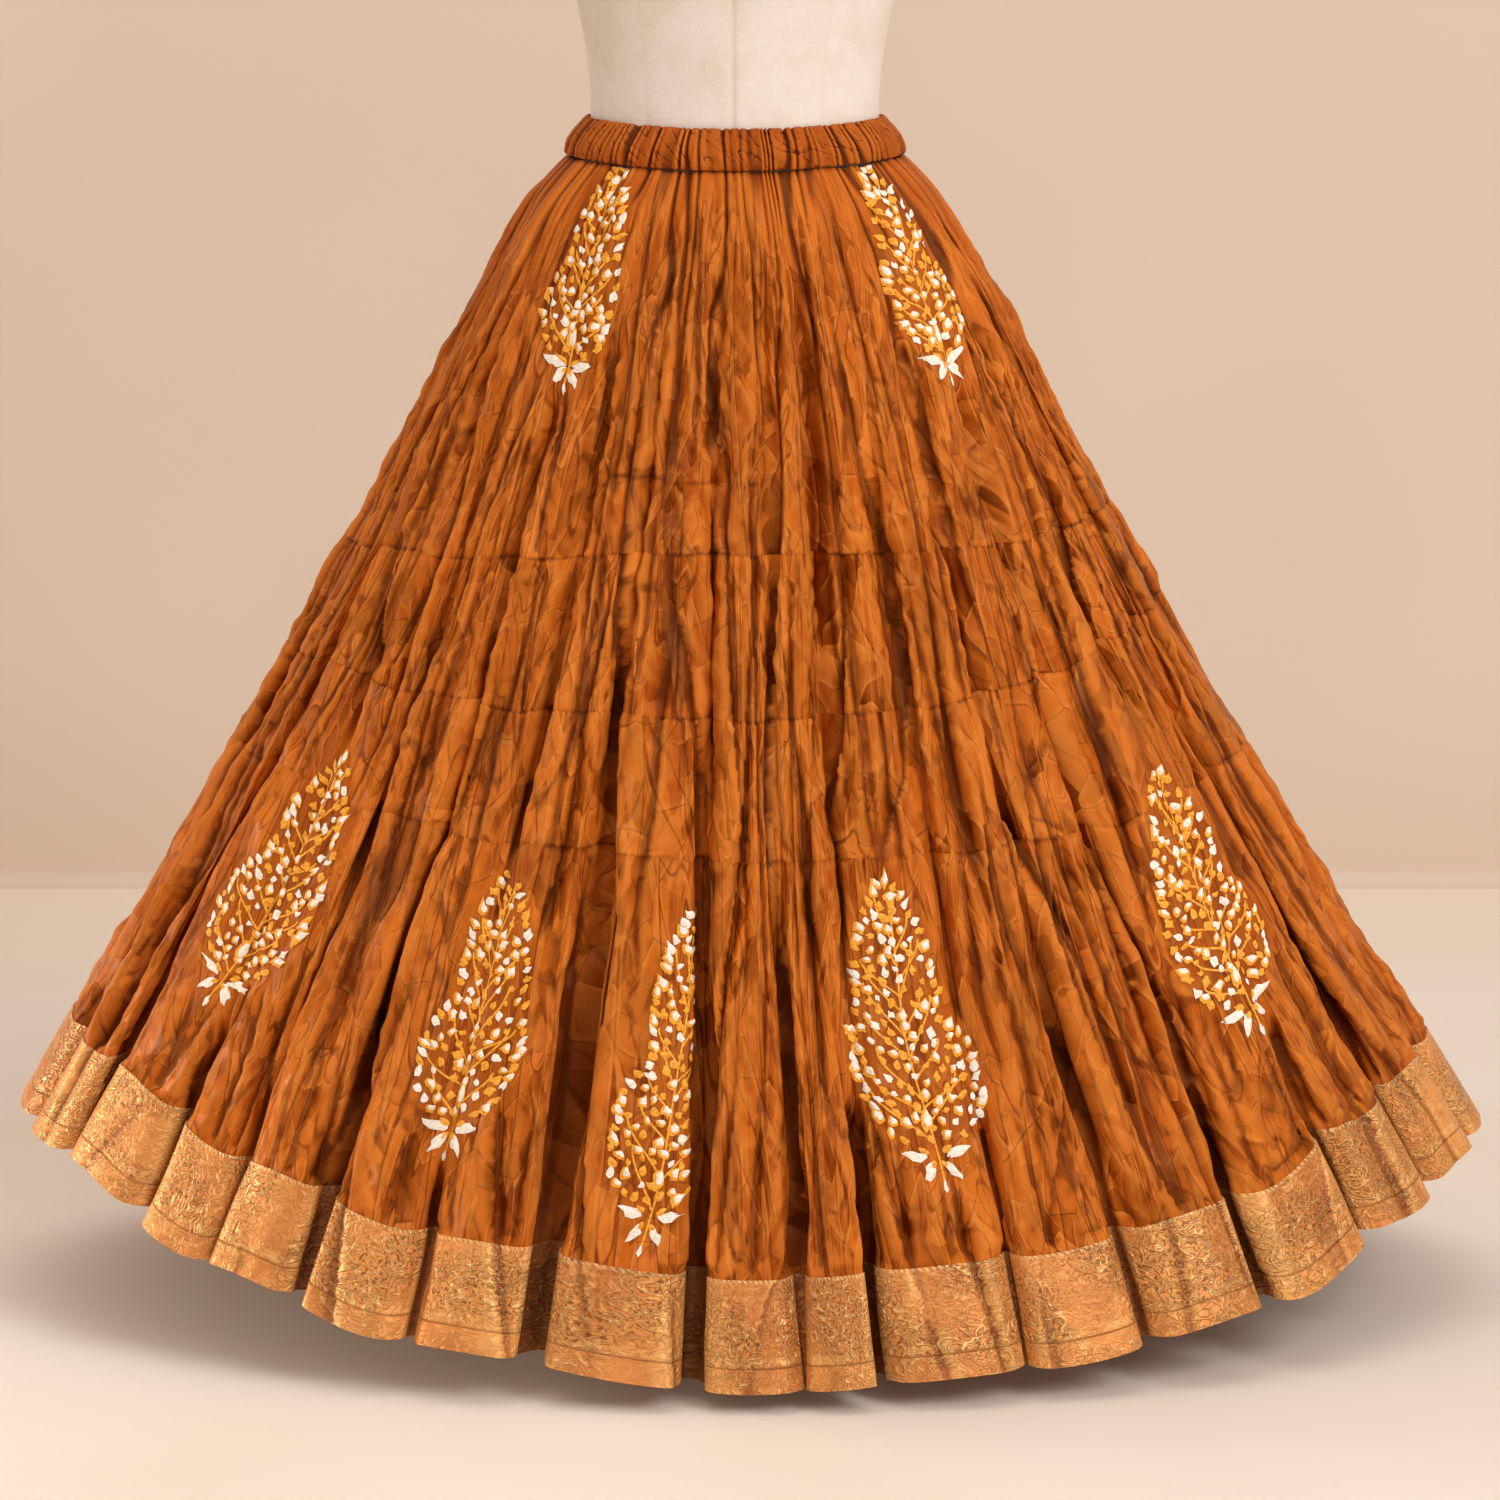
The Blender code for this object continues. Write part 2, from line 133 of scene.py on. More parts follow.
def gradient_noise(around, along, cells, seed):
    """Smooth noise from about -1 to 1. around repeats from 0 to 1, with that many cells; along counts cells."""
    rows = int(np.floor(along.max())) - NOISE_FIRST_ROW + 2
    turns = np.random.default_rng(seed).uniform(0, FULL_TURN, (rows, cells)).T
    slope_x = np.cos(turns)
    slope_y = np.sin(turns)
    x = around * cells
    column = np.floor(x).astype(int)
    row = np.floor(along).astype(int)
    x = x - column
    y = along - row
    row = row - NOISE_FIRST_ROW

    def corner(right, down):
        at = (column + right) % cells, row + down
        return slope_x[at] * (x - right) + slope_y[at] * (y - down)

    ease_x = x * x * x * (x * (x * 6 - 15) + 10)
    ease_y = y * y * y * (y * (y * 6 - 15) + 10)
    upper = mix(corner(0, 0), corner(1, 0), ease_x)
    lower = mix(corner(0, 1), corner(1, 1), ease_x)
    return 1.5 * mix(upper, lower, ease_y)


def facet_noise(around, along, cells, seed):
    """Flat facets with sharp edges, from -1 to 1: random heights at the corners of a lattice of triangles."""
    rows = int(np.floor(along.max())) - NOISE_FIRST_ROW + 2
    draw = np.random.default_rng(seed)
    heights = draw.uniform(-1, 1, (rows, cells)).T
    turned = draw.random((rows, cells)).T > 0.5
    x = around * cells
    column = np.floor(x).astype(int)
    row = np.floor(along).astype(int)
    x = x - column
    y = along - row
    row = row - NOISE_FIRST_ROW
    here, beside = column % cells, (column + 1) % cells
    a, b = heights[here, row], heights[beside, row]
    c, d = heights[here, row + 1], heights[beside, row + 1]
    one = np.where(x > y, a + x * (b - a) + y * (d - b), a + y * (c - a) + x * (d - c))
    other = np.where(x + y < 1, a + x * (b - a) + y * (c - a), d + (1 - x) * (c - d) + (1 - y) * (b - d))
    return np.where(turned[here, row], other, one)


# ---------------------------------------------------------------- the cloth's surface


def hem_height(angle):
    first = HEM_HEIGHTS[0][0]
    angle = (angle - first) % 360 + first
    height = np.zeros_like(angle)
    rows = HEM_HEIGHTS + [(first + 360, HEM_HEIGHTS[0][1])]
    for (here, low), (after, high) in zip(rows, rows[1:]):
        inside = (angle >= here) & (angle <= after)
        height = np.where(inside, mix(low, high, soft_step(here, after, angle)), height)
    return height * MILLIMETRE


def waist_seam_height(angle):
    return mix(WAIST_SEAM_FRONT_HEIGHT, WAIST_SEAM_SIDE_HEIGHT, np.sin(np.radians(angle)) ** 2)


def ring_at(drop):
    """The cloth's half width and half depth at a drop, without its folds."""
    spread = smooth_curve(PROFILE_DROPS, PROFILE_SPREADS, np.clip(drop, 0, 1))
    return mix(WAIST_HALF_WIDTH, HEM_HALF_WIDTH, spread), mix(WAIST_HALF_DEPTH, HEM_HALF_DEPTH, spread)


def between_folds(fold):
    """The rows of FOLDS on each side, with the second's angle past the first's, and the share between them."""
    index = np.floor(fold).astype(int)
    here = FOLDS[index % FOLD_COUNT]
    after = FOLDS[(index + 1) % FOLD_COUNT].copy()
    after[..., 0] = np.where(after[..., 0] < here[..., 0], after[..., 0] + 360, after[..., 0])
    return here, after, fold - index


def angle_at(fold, drop):
    """Degrees from the front centre, in one turn from FOLDS' first row."""
    here, after, share = between_folds(fold)
    crowded = share - VALLEY_CROWDING * np.sin(FULL_TURN * share)
    at_hem = mix(here[..., 0], after[..., 0], crowded)
    even = FOLDS[0, 0] + EVEN_FOLD_SHIFT + 360 * (fold % FOLD_COUNT) / FOLD_COUNT
    uneven = mix(here[..., 0], after[..., 0], share)
    at_waist = mix(even, uneven, WAIST_UNEVENNESS)
    return mix(at_waist, at_hem, soft_step(0.0, VALLEYS_SET_DROP, drop))


def fold_at(angle, drop):
    """The fold that lies at an angle: the inverse of angle_at, found by halving."""
    first = FOLDS[0, 0] + EVEN_FOLD_SHIFT * (1 - WAIST_UNEVENNESS) * (1 - soft_step(0, VALLEYS_SET_DROP, drop))
    angle = (angle - first) % 360 + first
    low = np.zeros_like(angle)
    high = np.full_like(angle, FOLD_COUNT - 1e-9)
    for _ in range(34):
        middle = (low + high) / 2
        past = angle_at(middle, drop) > angle
        high = np.where(past, middle, high)
        low = np.where(past, low, middle)
    return (low + high) / 2


def fold_offset(fold, drop, kept=1.0):
    """How far the cloth lies outside its ring, and how far it leans sideways. kept is the valleys' share."""
    here, after, share = between_folds(fold)
    grown = soft_step(0.0, FOLD_FORMED_DROP, drop) * mix(FOLD_DEPTH_AT_WAIST, 1.0, drop)
    depth_here, depth_after = (
        kept * row[..., 1] * MILLIMETRE * bell(part, FOLD_VALLEY_WIDTH) * grown
        for row, part in ((here, share), (after, 1 - share))
    )
    bulge = FOLD_PANEL_BULGE * grown * np.sin(math.pi * share)
    lean = depth_here * here[..., 2] + depth_after * after[..., 2]
    return bulge - depth_here - depth_after, lean


def ellipse_points(angle, half_width, half_depth, outward, sideways=0.0):
    """Points in plan at angles in degrees from the front centre, moved off the ellipse."""
    turn = np.radians(angle)
    normal_x = np.sin(turn) / half_width
    normal_y = -np.cos(turn) / half_depth
    length = np.hypot(normal_x, normal_y)
    normal_x = normal_x / length
    normal_y = normal_y / length
    x = half_width * np.sin(turn) + normal_x * outward - normal_y * sideways
    y = -half_depth * np.cos(turn) + normal_y * outward + normal_x * sideways
    return x, y


def cloth_points(fold, drop, kept=1.0):
    """The cloth before its creases, as its solid has it where its valleys are kept whole."""
    angle = angle_at(fold, drop)
    x, y = ellipse_points(angle, *ring_at(drop), *fold_offset(fold, drop, kept))
    height = mix(waist_seam_height(angle), hem_height(angle), drop)
    return np.stack([x + HEM_SHIFT * drop, y, height], axis=-1)


def seam_drop(name, fold):
    front, right, back, left = SEAMS[name]
    turn = np.radians(angle_at(fold, np.full_like(fold, front)))
    side = np.where(np.sin(turn) > 0, right, left)
    middle = np.where(np.cos(turn) > 0, front, back)
    return mix(middle, side, np.sin(turn) ** 2)


def ring_radius(angle, drop):
    """Metres of cloth for each radian round the skirt, near enough."""
    turn = np.radians(angle)
    half_width, half_depth = ring_at(drop)
    return np.hypot(half_width * np.cos(turn), half_depth * np.sin(turn))


# ---------------------------------------------------------------- meshes


def make_mesh(name, points, triangles, materials, uv=None, values=None, slots=None, smooth=True):
    """A mesh object from arrays: uv has a pair for each triangle's corner, and values a number for each point."""
    mesh = bpy.data.meshes.new(name)
    points = np.asarray(points, np.float32).reshape(-1, 3)
    triangles = np.asarray(triangles, np.int32).reshape(-1, 3)
    mesh.vertices.add(len(points))
    mesh.vertices.foreach_set("co", points.ravel())
    mesh.loops.add(triangles.size)
    mesh.loops.foreach_set("vertex_index", triangles.ravel())
    mesh.polygons.add(len(triangles))
    mesh.polygons.foreach_set("loop_start", np.arange(0, triangles.size, 3, dtype=np.int32))
    if slots is not None:
        mesh.polygons.foreach_set("material_index", np.asarray(slots, np.int32))
    if uv is not None:
        layer = mesh.uv_layers.new(name="OFBake")
        layer.data.foreach_set("uv", np.asarray(uv, np.float32).ravel())
    for key, numbers in (values or {}).items():
        attribute = mesh.attributes.new(key, "FLOAT", "POINT")
        attribute.data.foreach_set("value", np.asarray(numbers, np.float32).ravel())
    mesh.update(calc_edges=True)
    if smooth:
        mesh.shade_smooth()
    for material in materials:
        mesh.materials.append(material)
    piece = bpy.data.objects.new(name, mesh)
    bpy.context.scene.collection.objects.link(piece)
    return piece


def tube_cells(rows, columns, breaks):
    """The row and the column of each cell of a grid, but for those below the rows in breaks."""
    kept = [row for row in range(rows - 1) if row not in breaks]
    return np.meshgrid(kept, np.arange(columns), indexing="ij")


def crossed_cells(grid, rows, columns, breaks):
    """The cells that split better along their other diagonal, whose ends are more alike in the grid's values."""
    row, column = tube_cells(rows, columns, breaks)
    after = (column + 1) % columns
    return np.abs(grid[row + 1, column] - grid[row, after]) < np.abs(grid[row, column] - grid[row + 1, after])


def split_cells(a, b, c, d, crossed):
    """The corners of each cell's two triangles, from the cell's own corners."""
    usual = np.stack([a, b, c, a, c, d], axis=2)
    other = np.stack([a, b, d, b, c, d], axis=2)
    if crossed is None:
        return usual
    return np.where(crossed.reshape(crossed.shape + (1,) * (usual.ndim - 2)), other, usual)


def tube_triangles(rows, columns, breaks=(), crossed=None):
    """Two triangles for each cell of a grid of rows whose last column joins its first, facing out."""
    row, column = tube_cells(rows, columns, breaks)
    after = (column + 1) % columns
    a = row * columns + column
    b = (row + 1) * columns + column
    c = (row + 1) * columns + after
    d = row * columns + after
    return split_cells(a, b, c, d, crossed).reshape(-1, 3)


def tube_uv(rows, columns, breaks=(), crossed=None):
    """A flat map of the same grid, in the unit square, for each triangle's corner."""
    row, column = tube_cells(rows, columns, breaks)
    left = column / columns
    right = (column + 1) / columns
    top = 1 - row / (rows - 1)
    bottom = 1 - (row + 1) / (rows - 1)
    corners = [np.stack(corner, -1) for corner in ((left, top), (left, bottom), (right, bottom), (right, top))]
    return split_cells(*corners, crossed).reshape(-1, 2)


def grid_normals(points):
    """Outward unit normals of a grid of rows from the top down, whose last column joins its first."""
    across = np.roll(points, -1, axis=1) - np.roll(points, 1, axis=1)
    down = np.gradient(points, axis=0)
    return unit(np.cross(down, across))


# ---------------------------------------------------------------- the crushed cloth

# Creases round each piece: how many cells of the noise go round, and then for each layer how long a cell is
# down the cloth and the height, in metres. "valley" creases cut in sharply, "ridge" creases stand up sharply, and "facet" ones are
# the flat facets of crushed cloth
CRUSH = {
    "tier_1": {"folds": 50, "facets": 66, "fine": 130},
    "tier_2": {"folds": 62, "facets": 104, "fine": 190},
    "tier_3": {"folds": 70, "facets": 118, "fine": 216},
    "tier_4": {"folds": 80, "facets": 142, "fine": 270},
}
CRUSH_LAYERS = [
    {"cells": "folds", "length": 0.260, "height": 0.0050, "kind": "valley", "shear": 0.0, "seed": 11},
    {"cells": "folds", "length": 0.170, "height": 0.0030, "kind": "ridge", "shear": 0.05, "seed": 12},
    {"cells": "facets", "length": 0.052, "height": 0.0036, "kind": "facet", "shear": 0.34, "seed": 13},
    {"cells": "facets", "length": 0.075, "height": 0.0032, "kind": "valley", "shear": -0.50, "seed": 14},
    {"cells": "fine", "length": 0.027, "height": 0.0014, "kind": "facet", "shear": -0.55, "seed": 15},
    {"cells": "folds", "length": 0.034, "height": 0.0022, "kind": "ridge", "shear": 0.85, "seed": 16},
]
OPEN_WIDTHS = {"folds": 0.026, "facets": 0.018, "fine": 0.0105}  # metres across a cell where the cloth lies open
CREASE_SHARPNESS = 0.035  # the half width of a crease's rounded edge, in the noise's own unit
CREASE_SHADE_WIDTH = 0.036
CRUSH_SHADE = 0.72
WANDER = 0.006  # how far creases stray sideways
WANDER_LENGTH = 0.14
FACET_WARP = 0.42  # how far the facets' corners stray, in cells
WAIST_FADE_DROP = 0.07
CRUSH_VARIES, CRUSH_VARIES_LENGTH = 0.5, 0.13  # how much the crumple's height varies, and over how many metres
CROWDED_LOSS = 1.2


def crush(name, around, drop, fold):
    """The height of the creases and how dark they are, over a piece's grid."""
    angle = angle_at(fold, drop)
    metres_round = FULL_TURN * ring_radius(angle, drop)
    down = drop * CLOTH_LENGTH
    cells = CRUSH[name]
    piece_seed = 100 * (1 + list(CRUSH).index(name))
    wander = gradient_noise(around, down / WANDER_LENGTH, cells["folds"] // 2, piece_seed + 1)
    strayed = around + WANDER * wander / metres_round
    calm = gradient_noise(around, down / CRUSH_VARIES_LENGTH + 5, cells["folds"] // 3, piece_seed + 2)
    calm = 0.75 + CRUSH_VARIES * calm
    height = np.zeros_like(drop)
    shade = np.zeros_like(drop)
    for layer in CRUSH_LAYERS:
        count = cells[layer["cells"]]
        turned = strayed + layer["shear"] * down / metres_round.mean()
        level = down / layer["length"]
        swing = layer["height"] * (calm if layer["cells"] != "folds" else 1.0)
        # Where the cloth is drawn together, its narrow creases are lost in the gathers
        crowded = metres_round / count / OPEN_WIDTHS[layer["cells"]]
        swing = swing * np.clip(crowded, 0, 1) ** CROWDED_LOSS
        if layer["kind"] == "facet":
            push = gradient_noise(turned, level * 0.9 + 3, count, piece_seed + layer["seed"] + 50)
            pull = gradient_noise(turned, level * 0.9 + 7, count, piece_seed + layer["seed"] + 60)
            height += swing * facet_noise(
                turned + FACET_WARP * push / count, level + FACET_WARP * pull, count, piece_seed + layer["seed"]
            )
            continue
        noise = gradient_noise(turned, level, count, piece_seed + layer["seed"])
        rounded = np.sqrt(noise ** 2 + CREASE_SHARPNESS ** 2)
        if layer["kind"] == "valley":
            height += swing * (rounded - 0.3)
            shade += CRUSH_SHADE * swing * bell(noise, CREASE_SHADE_WIDTH)
        else:
            height -= swing * (rounded - 0.3)
    return height, shade / CRUSH_LAYERS[0]["height"]


# The dye's soft clouds and smaller patches: metres across and along, and the share of each
DYE_LAYERS = [(0.095, 0.20, 0.60), (0.040, 0.10, 0.65), (0.016, 0.040, 0.35)]
DYE_CELLS = 0.75  # cells of the noise to a cloud's width
PATCHINESS_SIZE = (0.050, 0.070)
PATCHINESS_SWING = 0.9


def dye(around, down, girth, seed):
    """How deep the dye is and how patchy, both from 0 to 1: the patchiness sets where the thin lines of painted crease
    shade show, and how close the brocade's threads lie. girth is the width of the piece's cut.
    """
    tone = np.full(np.broadcast(around, down).shape, 0.5)
    for number, (wide, long, share) in enumerate(DYE_LAYERS):
        cells = max(int(DYE_CELLS * girth / wide), 3)
        tone += 0.5 * share * gradient_noise(around, down / long, cells, seed + number)
    wide, long = PATCHINESS_SIZE
    patchiness = 0.5 + PATCHINESS_SWING * gradient_noise(around, down / long, int(DYE_CELLS * girth / wide), seed + 9)
    return np.clip(tone, 0, 1), np.clip(patchiness, 0, 1)


# How far a point stands above the cloth round it, at two sizes: reach in columns, and the height in metres
# that counts as one
RELIEF_SCALES = [(2, 0.00045, 0.42), (13, 0.0050, 0.55)]
RELIEF_ROWS = 1


def smoothed(grid, across, down):
    """The grid blurred over that many columns, which wrap, and rows each way."""
    total = sum(np.roll(grid, step, axis=1) for step in range(-across, across + 1)) / (2 * across + 1)
    padded = np.pad(total, ((down, down), (0, 0)), mode="edge")
    return sum(padded[step:step + len(grid)] for step in range(2 * down + 1)) / (2 * down + 1)


def relief(height):
    """From -1 in a recess to 1 on a ridge."""
    total = np.zeros_like(height)
    for reach, unit_height, share in RELIEF_SCALES:
        total += share * np.clip((height - smoothed(height, reach, RELIEF_ROWS)) / unit_height, -1.5, 1.5)
    return np.clip(total, -1, 1)


# Pleats that run the length of the skirt. Each edge is a step in the cloth, up or down, with a recess on its
# low side; its height changes down the fall, so pleats come and go. Heights and widths are in metres
PLEATS = [
    {"count": 48, "height": 0.0140, "pitch_share": 0.30, "from": 0.04, "full": 0.26, "wander": 1.0, "seed": 61},
    {"count": 88, "height": 0.0062, "pitch_share": 0.22, "from": 0.10, "full": 0.36, "wander": 0.9, "seed": 62},
]
PLEAT_WANDER_LENGTH = 0.42
PLEAT_KNOTS = 5  # heights of a step down the fall
PLEAT_EDGE = 0.0045  # at the middle of the fall: less above it, and more below
PLEAT_RECESS_WIDTH = 0.0085
PLEAT_RECESS_SHARE = 0.75
PLEAT_SHADE_WIDTH = 0.0042
PLEAT_SHADE = 1.35
PLEAT_BULGE = 0.05
HEM_LIGHTER = 0.45  # share of the pleats' darkness that is lost where they open out, between these drops
HEM_LIGHTER_DROPS = (0.60, 0.80)


def pleat_steps(edge, drop, count, seed):
    """The signed height, from -1 to 1, of the step at each pleat's edge."""
    draw = np.random.default_rng(seed)
    table = draw.uniform(-1, 1, (count, PLEAT_KNOTS + 2))
    table = np.sign(table) * np.abs(table) ** 0.6
    shift = draw.uniform(0, 1, count)
    edge = edge % count
    down = np.clip(drop, 0, 1) * PLEAT_KNOTS + shift[edge]
    knot = np.floor(down).astype(int)
    part = down - knot
    return mix(table[edge, knot], table[edge, knot + 1], part * part * (3 - 2 * part))


def pleats(layer, around, drop, fold):
    """The height and the darkness of one set of pleats."""
    count = layer["count"]
    radius = ring_radius(angle_at(fold, drop), drop)
    pitch = FULL_TURN * radius / count
    wander = gradient_noise(around, drop * CLOTH_LENGTH / PLEAT_WANDER_LENGTH, count // 2, layer["seed"])
    phase = around * count + layer["wander"] * wander
    left = np.floor(phase).astype(int)
    share = phase - left
    reach = soft_step(layer["from"], layer["full"], drop)
    size = np.minimum(layer["height"], layer["pitch_share"] * pitch) * reach
    height = PLEAT_BULGE * pitch * reach * (np.sin(math.pi * share) - 0.6)
    shade = np.zeros_like(drop)
    wider = 0.6 + 0.9 * drop
    width = PLEAT_EDGE * wider
    for edge, inwards, side in ((left, share, 1.0), (left + 1, 1 - share, -1.0)):
        step = side * pleat_steps(edge, drop, count, layer["seed"] + 1)
        away = inwards * pitch
        height += 0.5 * step * size * (1 - inwards) * soft_step(0, width, away)
        low = np.maximum(-step, 0)
        height -= PLEAT_RECESS_SHARE * low * size * bell(away, PLEAT_RECESS_WIDTH)
        shade += PLEAT_SHADE * low * (size / layer["height"]) * bell(away, PLEAT_SHADE_WIDTH * wider)
    return height, shade


# The long creases of the front, where the cloth doubles under itself: the angle in degrees and the drop
# of each end, the width of the gentle side and the depth in millimetres, and +1 or -1 for the steep side
LONG_CREASES = [
    # from angle, drop, to angle, drop, width, depth, steep side
    (-62, 0.03, -60, 0.42, 9, 6, 1),
    (-50, 0.02, -49, 0.33, 8, 5, -1),
    (-38, 0.02, -33, 0.36, 9, 6, 1),
    (-24, 0.01, -21, 0.30, 8, 5, -1),
    (-13, 0.02, -12, 0.26, 7, 5, 1),
    (-9, 0.02, -8, 0.25, 7, 4, -1),
    (4, 0.02, 5, 0.24, 7, 5, 1),
    (17, 0.02, 16, 0.34, 8, 6, -1),
    (28, 0.02, 26, 0.30, 8, 5, 1),
    (37, 0.03, 36, 0.44, 9, 6, -1),
    (60, 0.03, 61, 0.40, 9, 6, 1),
    (-72, 0.20, -73, 0.80, 10, 7, 1),
    (-61, 0.35, -61, 0.62, 9, 5, -1),
    (-41, 0.33, -42, 0.88, 11, 7, 1),
    (-32, 0.38, -32, 0.70, 9, 6, -1),
    (-22, 0.28, -22, 0.62, 9, 6, 1),
    (-10, 0.30, -11, 0.72, 9, 6, -1),
    (-7, 0.55, -8, 0.95, 9, 6, 1),
    (7, 0.36, 7, 0.80, 9, 5, -1),
    (15, 0.30, 15, 0.60, 10, 6, 1),
    (26, 0.34, 27, 0.90, 11, 7, -1),
    (38, 0.46, 38, 0.91, 10, 7, 1),
    (50, 0.30, 50, 0.86, 11, 7, -1),
    (62, 0.44, 61, 0.90, 10, 6, 1),
    (73, 0.25, 73, 0.85, 10, 7, -1),
]
BACK_CREASE_STEP = 9.5  # degrees: the hidden sides have similar creases, about this far apart
BACK_SEED = 31


def all_long_creases():
    """The front's creases, and similar ones on the hidden sides."""
    rows = list(LONG_CREASES)
    draw = np.random.default_rng(BACK_SEED)
    for number, angle in enumerate(np.arange(84, 277, BACK_CREASE_STEP)):
        start, end = ((0.02, 0.35), (0.30, 0.72), (0.45, 0.92))[number % 3]
        top = angle + draw.uniform(-2, 2)
        reach = draw.uniform(0.8, 1.1)
        steep = 1 if draw.random() > 0.5 else -1
        rows.append((top, start, top + draw.uniform(-2, 2), start + (end - start) * reach,
                     draw.uniform(7, 11), draw.uniform(5, 7), steep))
    return rows


CREASE_STEEP_WIDTH = 0.0022
CREASE_END_SHARE = 0.18  # share of a crease's length over which each end runs out
CREASE_WAVE, CREASE_WAVE_LENGTHS = 0.9, 9  # degrees that a long crease wanders, and how often down the fall
CREASE_SHADE = 0.6


def long_creases(around, drop, fold):
    """The height and the darkness that the long creases add."""
    angle = angle_at(fold, drop)
    radius = ring_radius(angle, drop)
    wave = CREASE_WAVE * gradient_noise(around, drop * CREASE_WAVE_LENGTHS, 24, 77)
    height = np.zeros_like(drop)
    shade = np.zeros_like(drop)
    for start_angle, start, end_angle, end, width, depth, steep in all_long_creases():
        share = np.clip((drop - start) / (end - start), 0, 1)
        centre = mix(start_angle, end_angle, share)
        off = (angle + wave - centre + 180) % 360 - 180
        across = np.radians(off) * radius * steep
        gentle = bell(across, width * MILLIMETRE)
        sharp = bell(across, CREASE_STEEP_WIDTH)
        reach = soft_step(0, CREASE_END_SHARE, share) * soft_step(0, CREASE_END_SHARE, 1 - share)
        height -= depth * MILLIMETRE * reach * np.where(across > 0, gentle, sharp)
        shade += CREASE_SHADE * reach * bell(across, CREASE_STEEP_WIDTH * 1.6)
    return height, shade


# Gathers where a tier is sewn to the one above: cells round, reach down the cloth and height in metres
SEAM_PUCKERS = {"upper": 190, "middle": 220, "lower": 240, "border": 300}
SEAM_SHADES = {"upper": 0.62, "middle": 0.50, "lower": 0.45, "border": 0.35}
PUCKER_REACH_BELOW = 0.030
PUCKER_REACH_ABOVE = 0.012
PUCKER_HEIGHT = 0.0016
SEAM_GROOVE_WIDTH = 0.0015
SEAM_GROOVE_DEPTH = 0.0006
SEAM_SAG = 0.0024
PUCKER_LENGTH = 0.030
PUCKER_SHADE = 0.35
SEAM_SHADE_VARIES_LENGTH = 0.2
PUCKER_SEED, SEAM_SHADE_VARIES_SEED, SEAM_SAG_SEED = 500, 520, 540


def seam_puckers(name, around, metres_below):
    """Small gathers that run out from a seam; metres_below is negative above it."""
    cells = SEAM_PUCKERS[name]
    noise = gradient_noise(around, metres_below / PUCKER_LENGTH + 3, cells, PUCKER_SEED + cells)
    reach = np.where(
        metres_below > 0,
        np.exp(-metres_below / PUCKER_REACH_BELOW),
        np.exp(metres_below / PUCKER_REACH_ABOVE),
    )
    ripple = np.sqrt(noise ** 2 + CREASE_SHARPNESS ** 2) - 0.25
    sag = SEAM_SAG * gradient_noise(around, metres_below * 0 + 3, cells // 4, SEAM_SAG_SEED + cells)
    groove = bell(metres_below + sag, SEAM_GROOVE_WIDTH)
    height = PUCKER_HEIGHT * reach * ripple - SEAM_GROOVE_DEPTH * groove
    # How strongly the groove is painted with shade varies along the seam
    painted_shading = gradient_noise(around, metres_below / SEAM_SHADE_VARIES_LENGTH + 3, cells // 7, SEAM_SHADE_VARIES_SEED + cells)
    shade = PUCKER_SHADE * reach * bell(noise, CREASE_SHADE_WIDTH)
    return height, shade + SEAM_SHADES[name] * groove * np.clip(0.65 + 1.1 * painted_shading, 0.15, 1)


# Gathers under the waistband. Each is a sharp line between two rounded panels: it starts at the seam, where it
# meets a gather of the band, and runs out at a drop of its own
GATHER_COUNT = 92
GATHER_SEED = 900
GATHER_WANDER = 1.25
GATHER_BEND_LENGTH = 0.17
GATHER_DEPTH = 0.0075
GATHER_WIDTH = 0.0034
GATHER_SHADE_WIDTH = 0.0019
GATHER_SHADE = 1.9
GATHER_FADE = 0.30  # share of its run from which a gather fades
GATHER_BULGE = 0.09
GATHER_BULGE_DROPS = (0.1, 0.3)  # drops between which the panels' bulge is lost
SHORTEST_GATHER = 0.035  # drops at which the gathers run out
LONGEST_GATHER = 0.46


def gather_table():
    """The drop at which each gather runs out, and its depth as a share."""
    draw = np.random.default_rng(GATHER_SEED + 1)
    ends = SHORTEST_GATHER + (LONGEST_GATHER - SHORTEST_GATHER) * draw.random(GATHER_COUNT) ** 1.7
    return ends, 0.10 + 0.90 * draw.random(GATHER_COUNT) ** 1.2


def nearest_gathers(around, level):
    """The gather on each side of a point: its number, and how far off it is as a share of their pitch."""
    wander = gradient_noise(around, level, GATHER_COUNT // 2, GATHER_SEED)
    phase = around * GATHER_COUNT + GATHER_WANDER * wander
    left = np.floor(phase).astype(int)
    share = phase - left
    return (left % GATHER_COUNT, share), ((left + 1) % GATHER_COUNT, 1 - share)


def waist_gathers(around, drop, fold):
    """The height and the darkness of the gathers under the waistband."""
    ends, depths = gather_table()
    pitch = FULL_TURN * ring_radius(angle_at(fold, drop), drop) / GATHER_COUNT
    height = np.zeros_like(drop)
    shade = np.zeros_like(drop)
    for gather, share in nearest_gathers(around, drop * CLOTH_LENGTH / GATHER_BEND_LENGTH + 2):
        run = drop / ends[gather]
        reach = depths[gather] * (1 - soft_step(GATHER_FADE, 1.0, run))
        away = share * pitch
        height -= GATHER_DEPTH * reach * np.exp(-away / (GATHER_WIDTH * (1 + 2 * np.clip(run, 0, 1))))
        bulge = 0.5 * GATHER_BULGE * pitch * np.sin(math.pi * share)
        height += bulge * (1 - soft_step(*GATHER_BULGE_DROPS, drop))
        shade += GATHER_SHADE * reach * bell(away, GATHER_SHADE_WIDTH)
    return height, shade


# A short level seam in the front of the top tier: the angles of its ends, and its drop
TUCK_FROM, TUCK_TO, TUCK_DROP = -25.5, 3.9, 0.262
TUCK_SAG, TUCK_SHADE = 0.003, 0.7


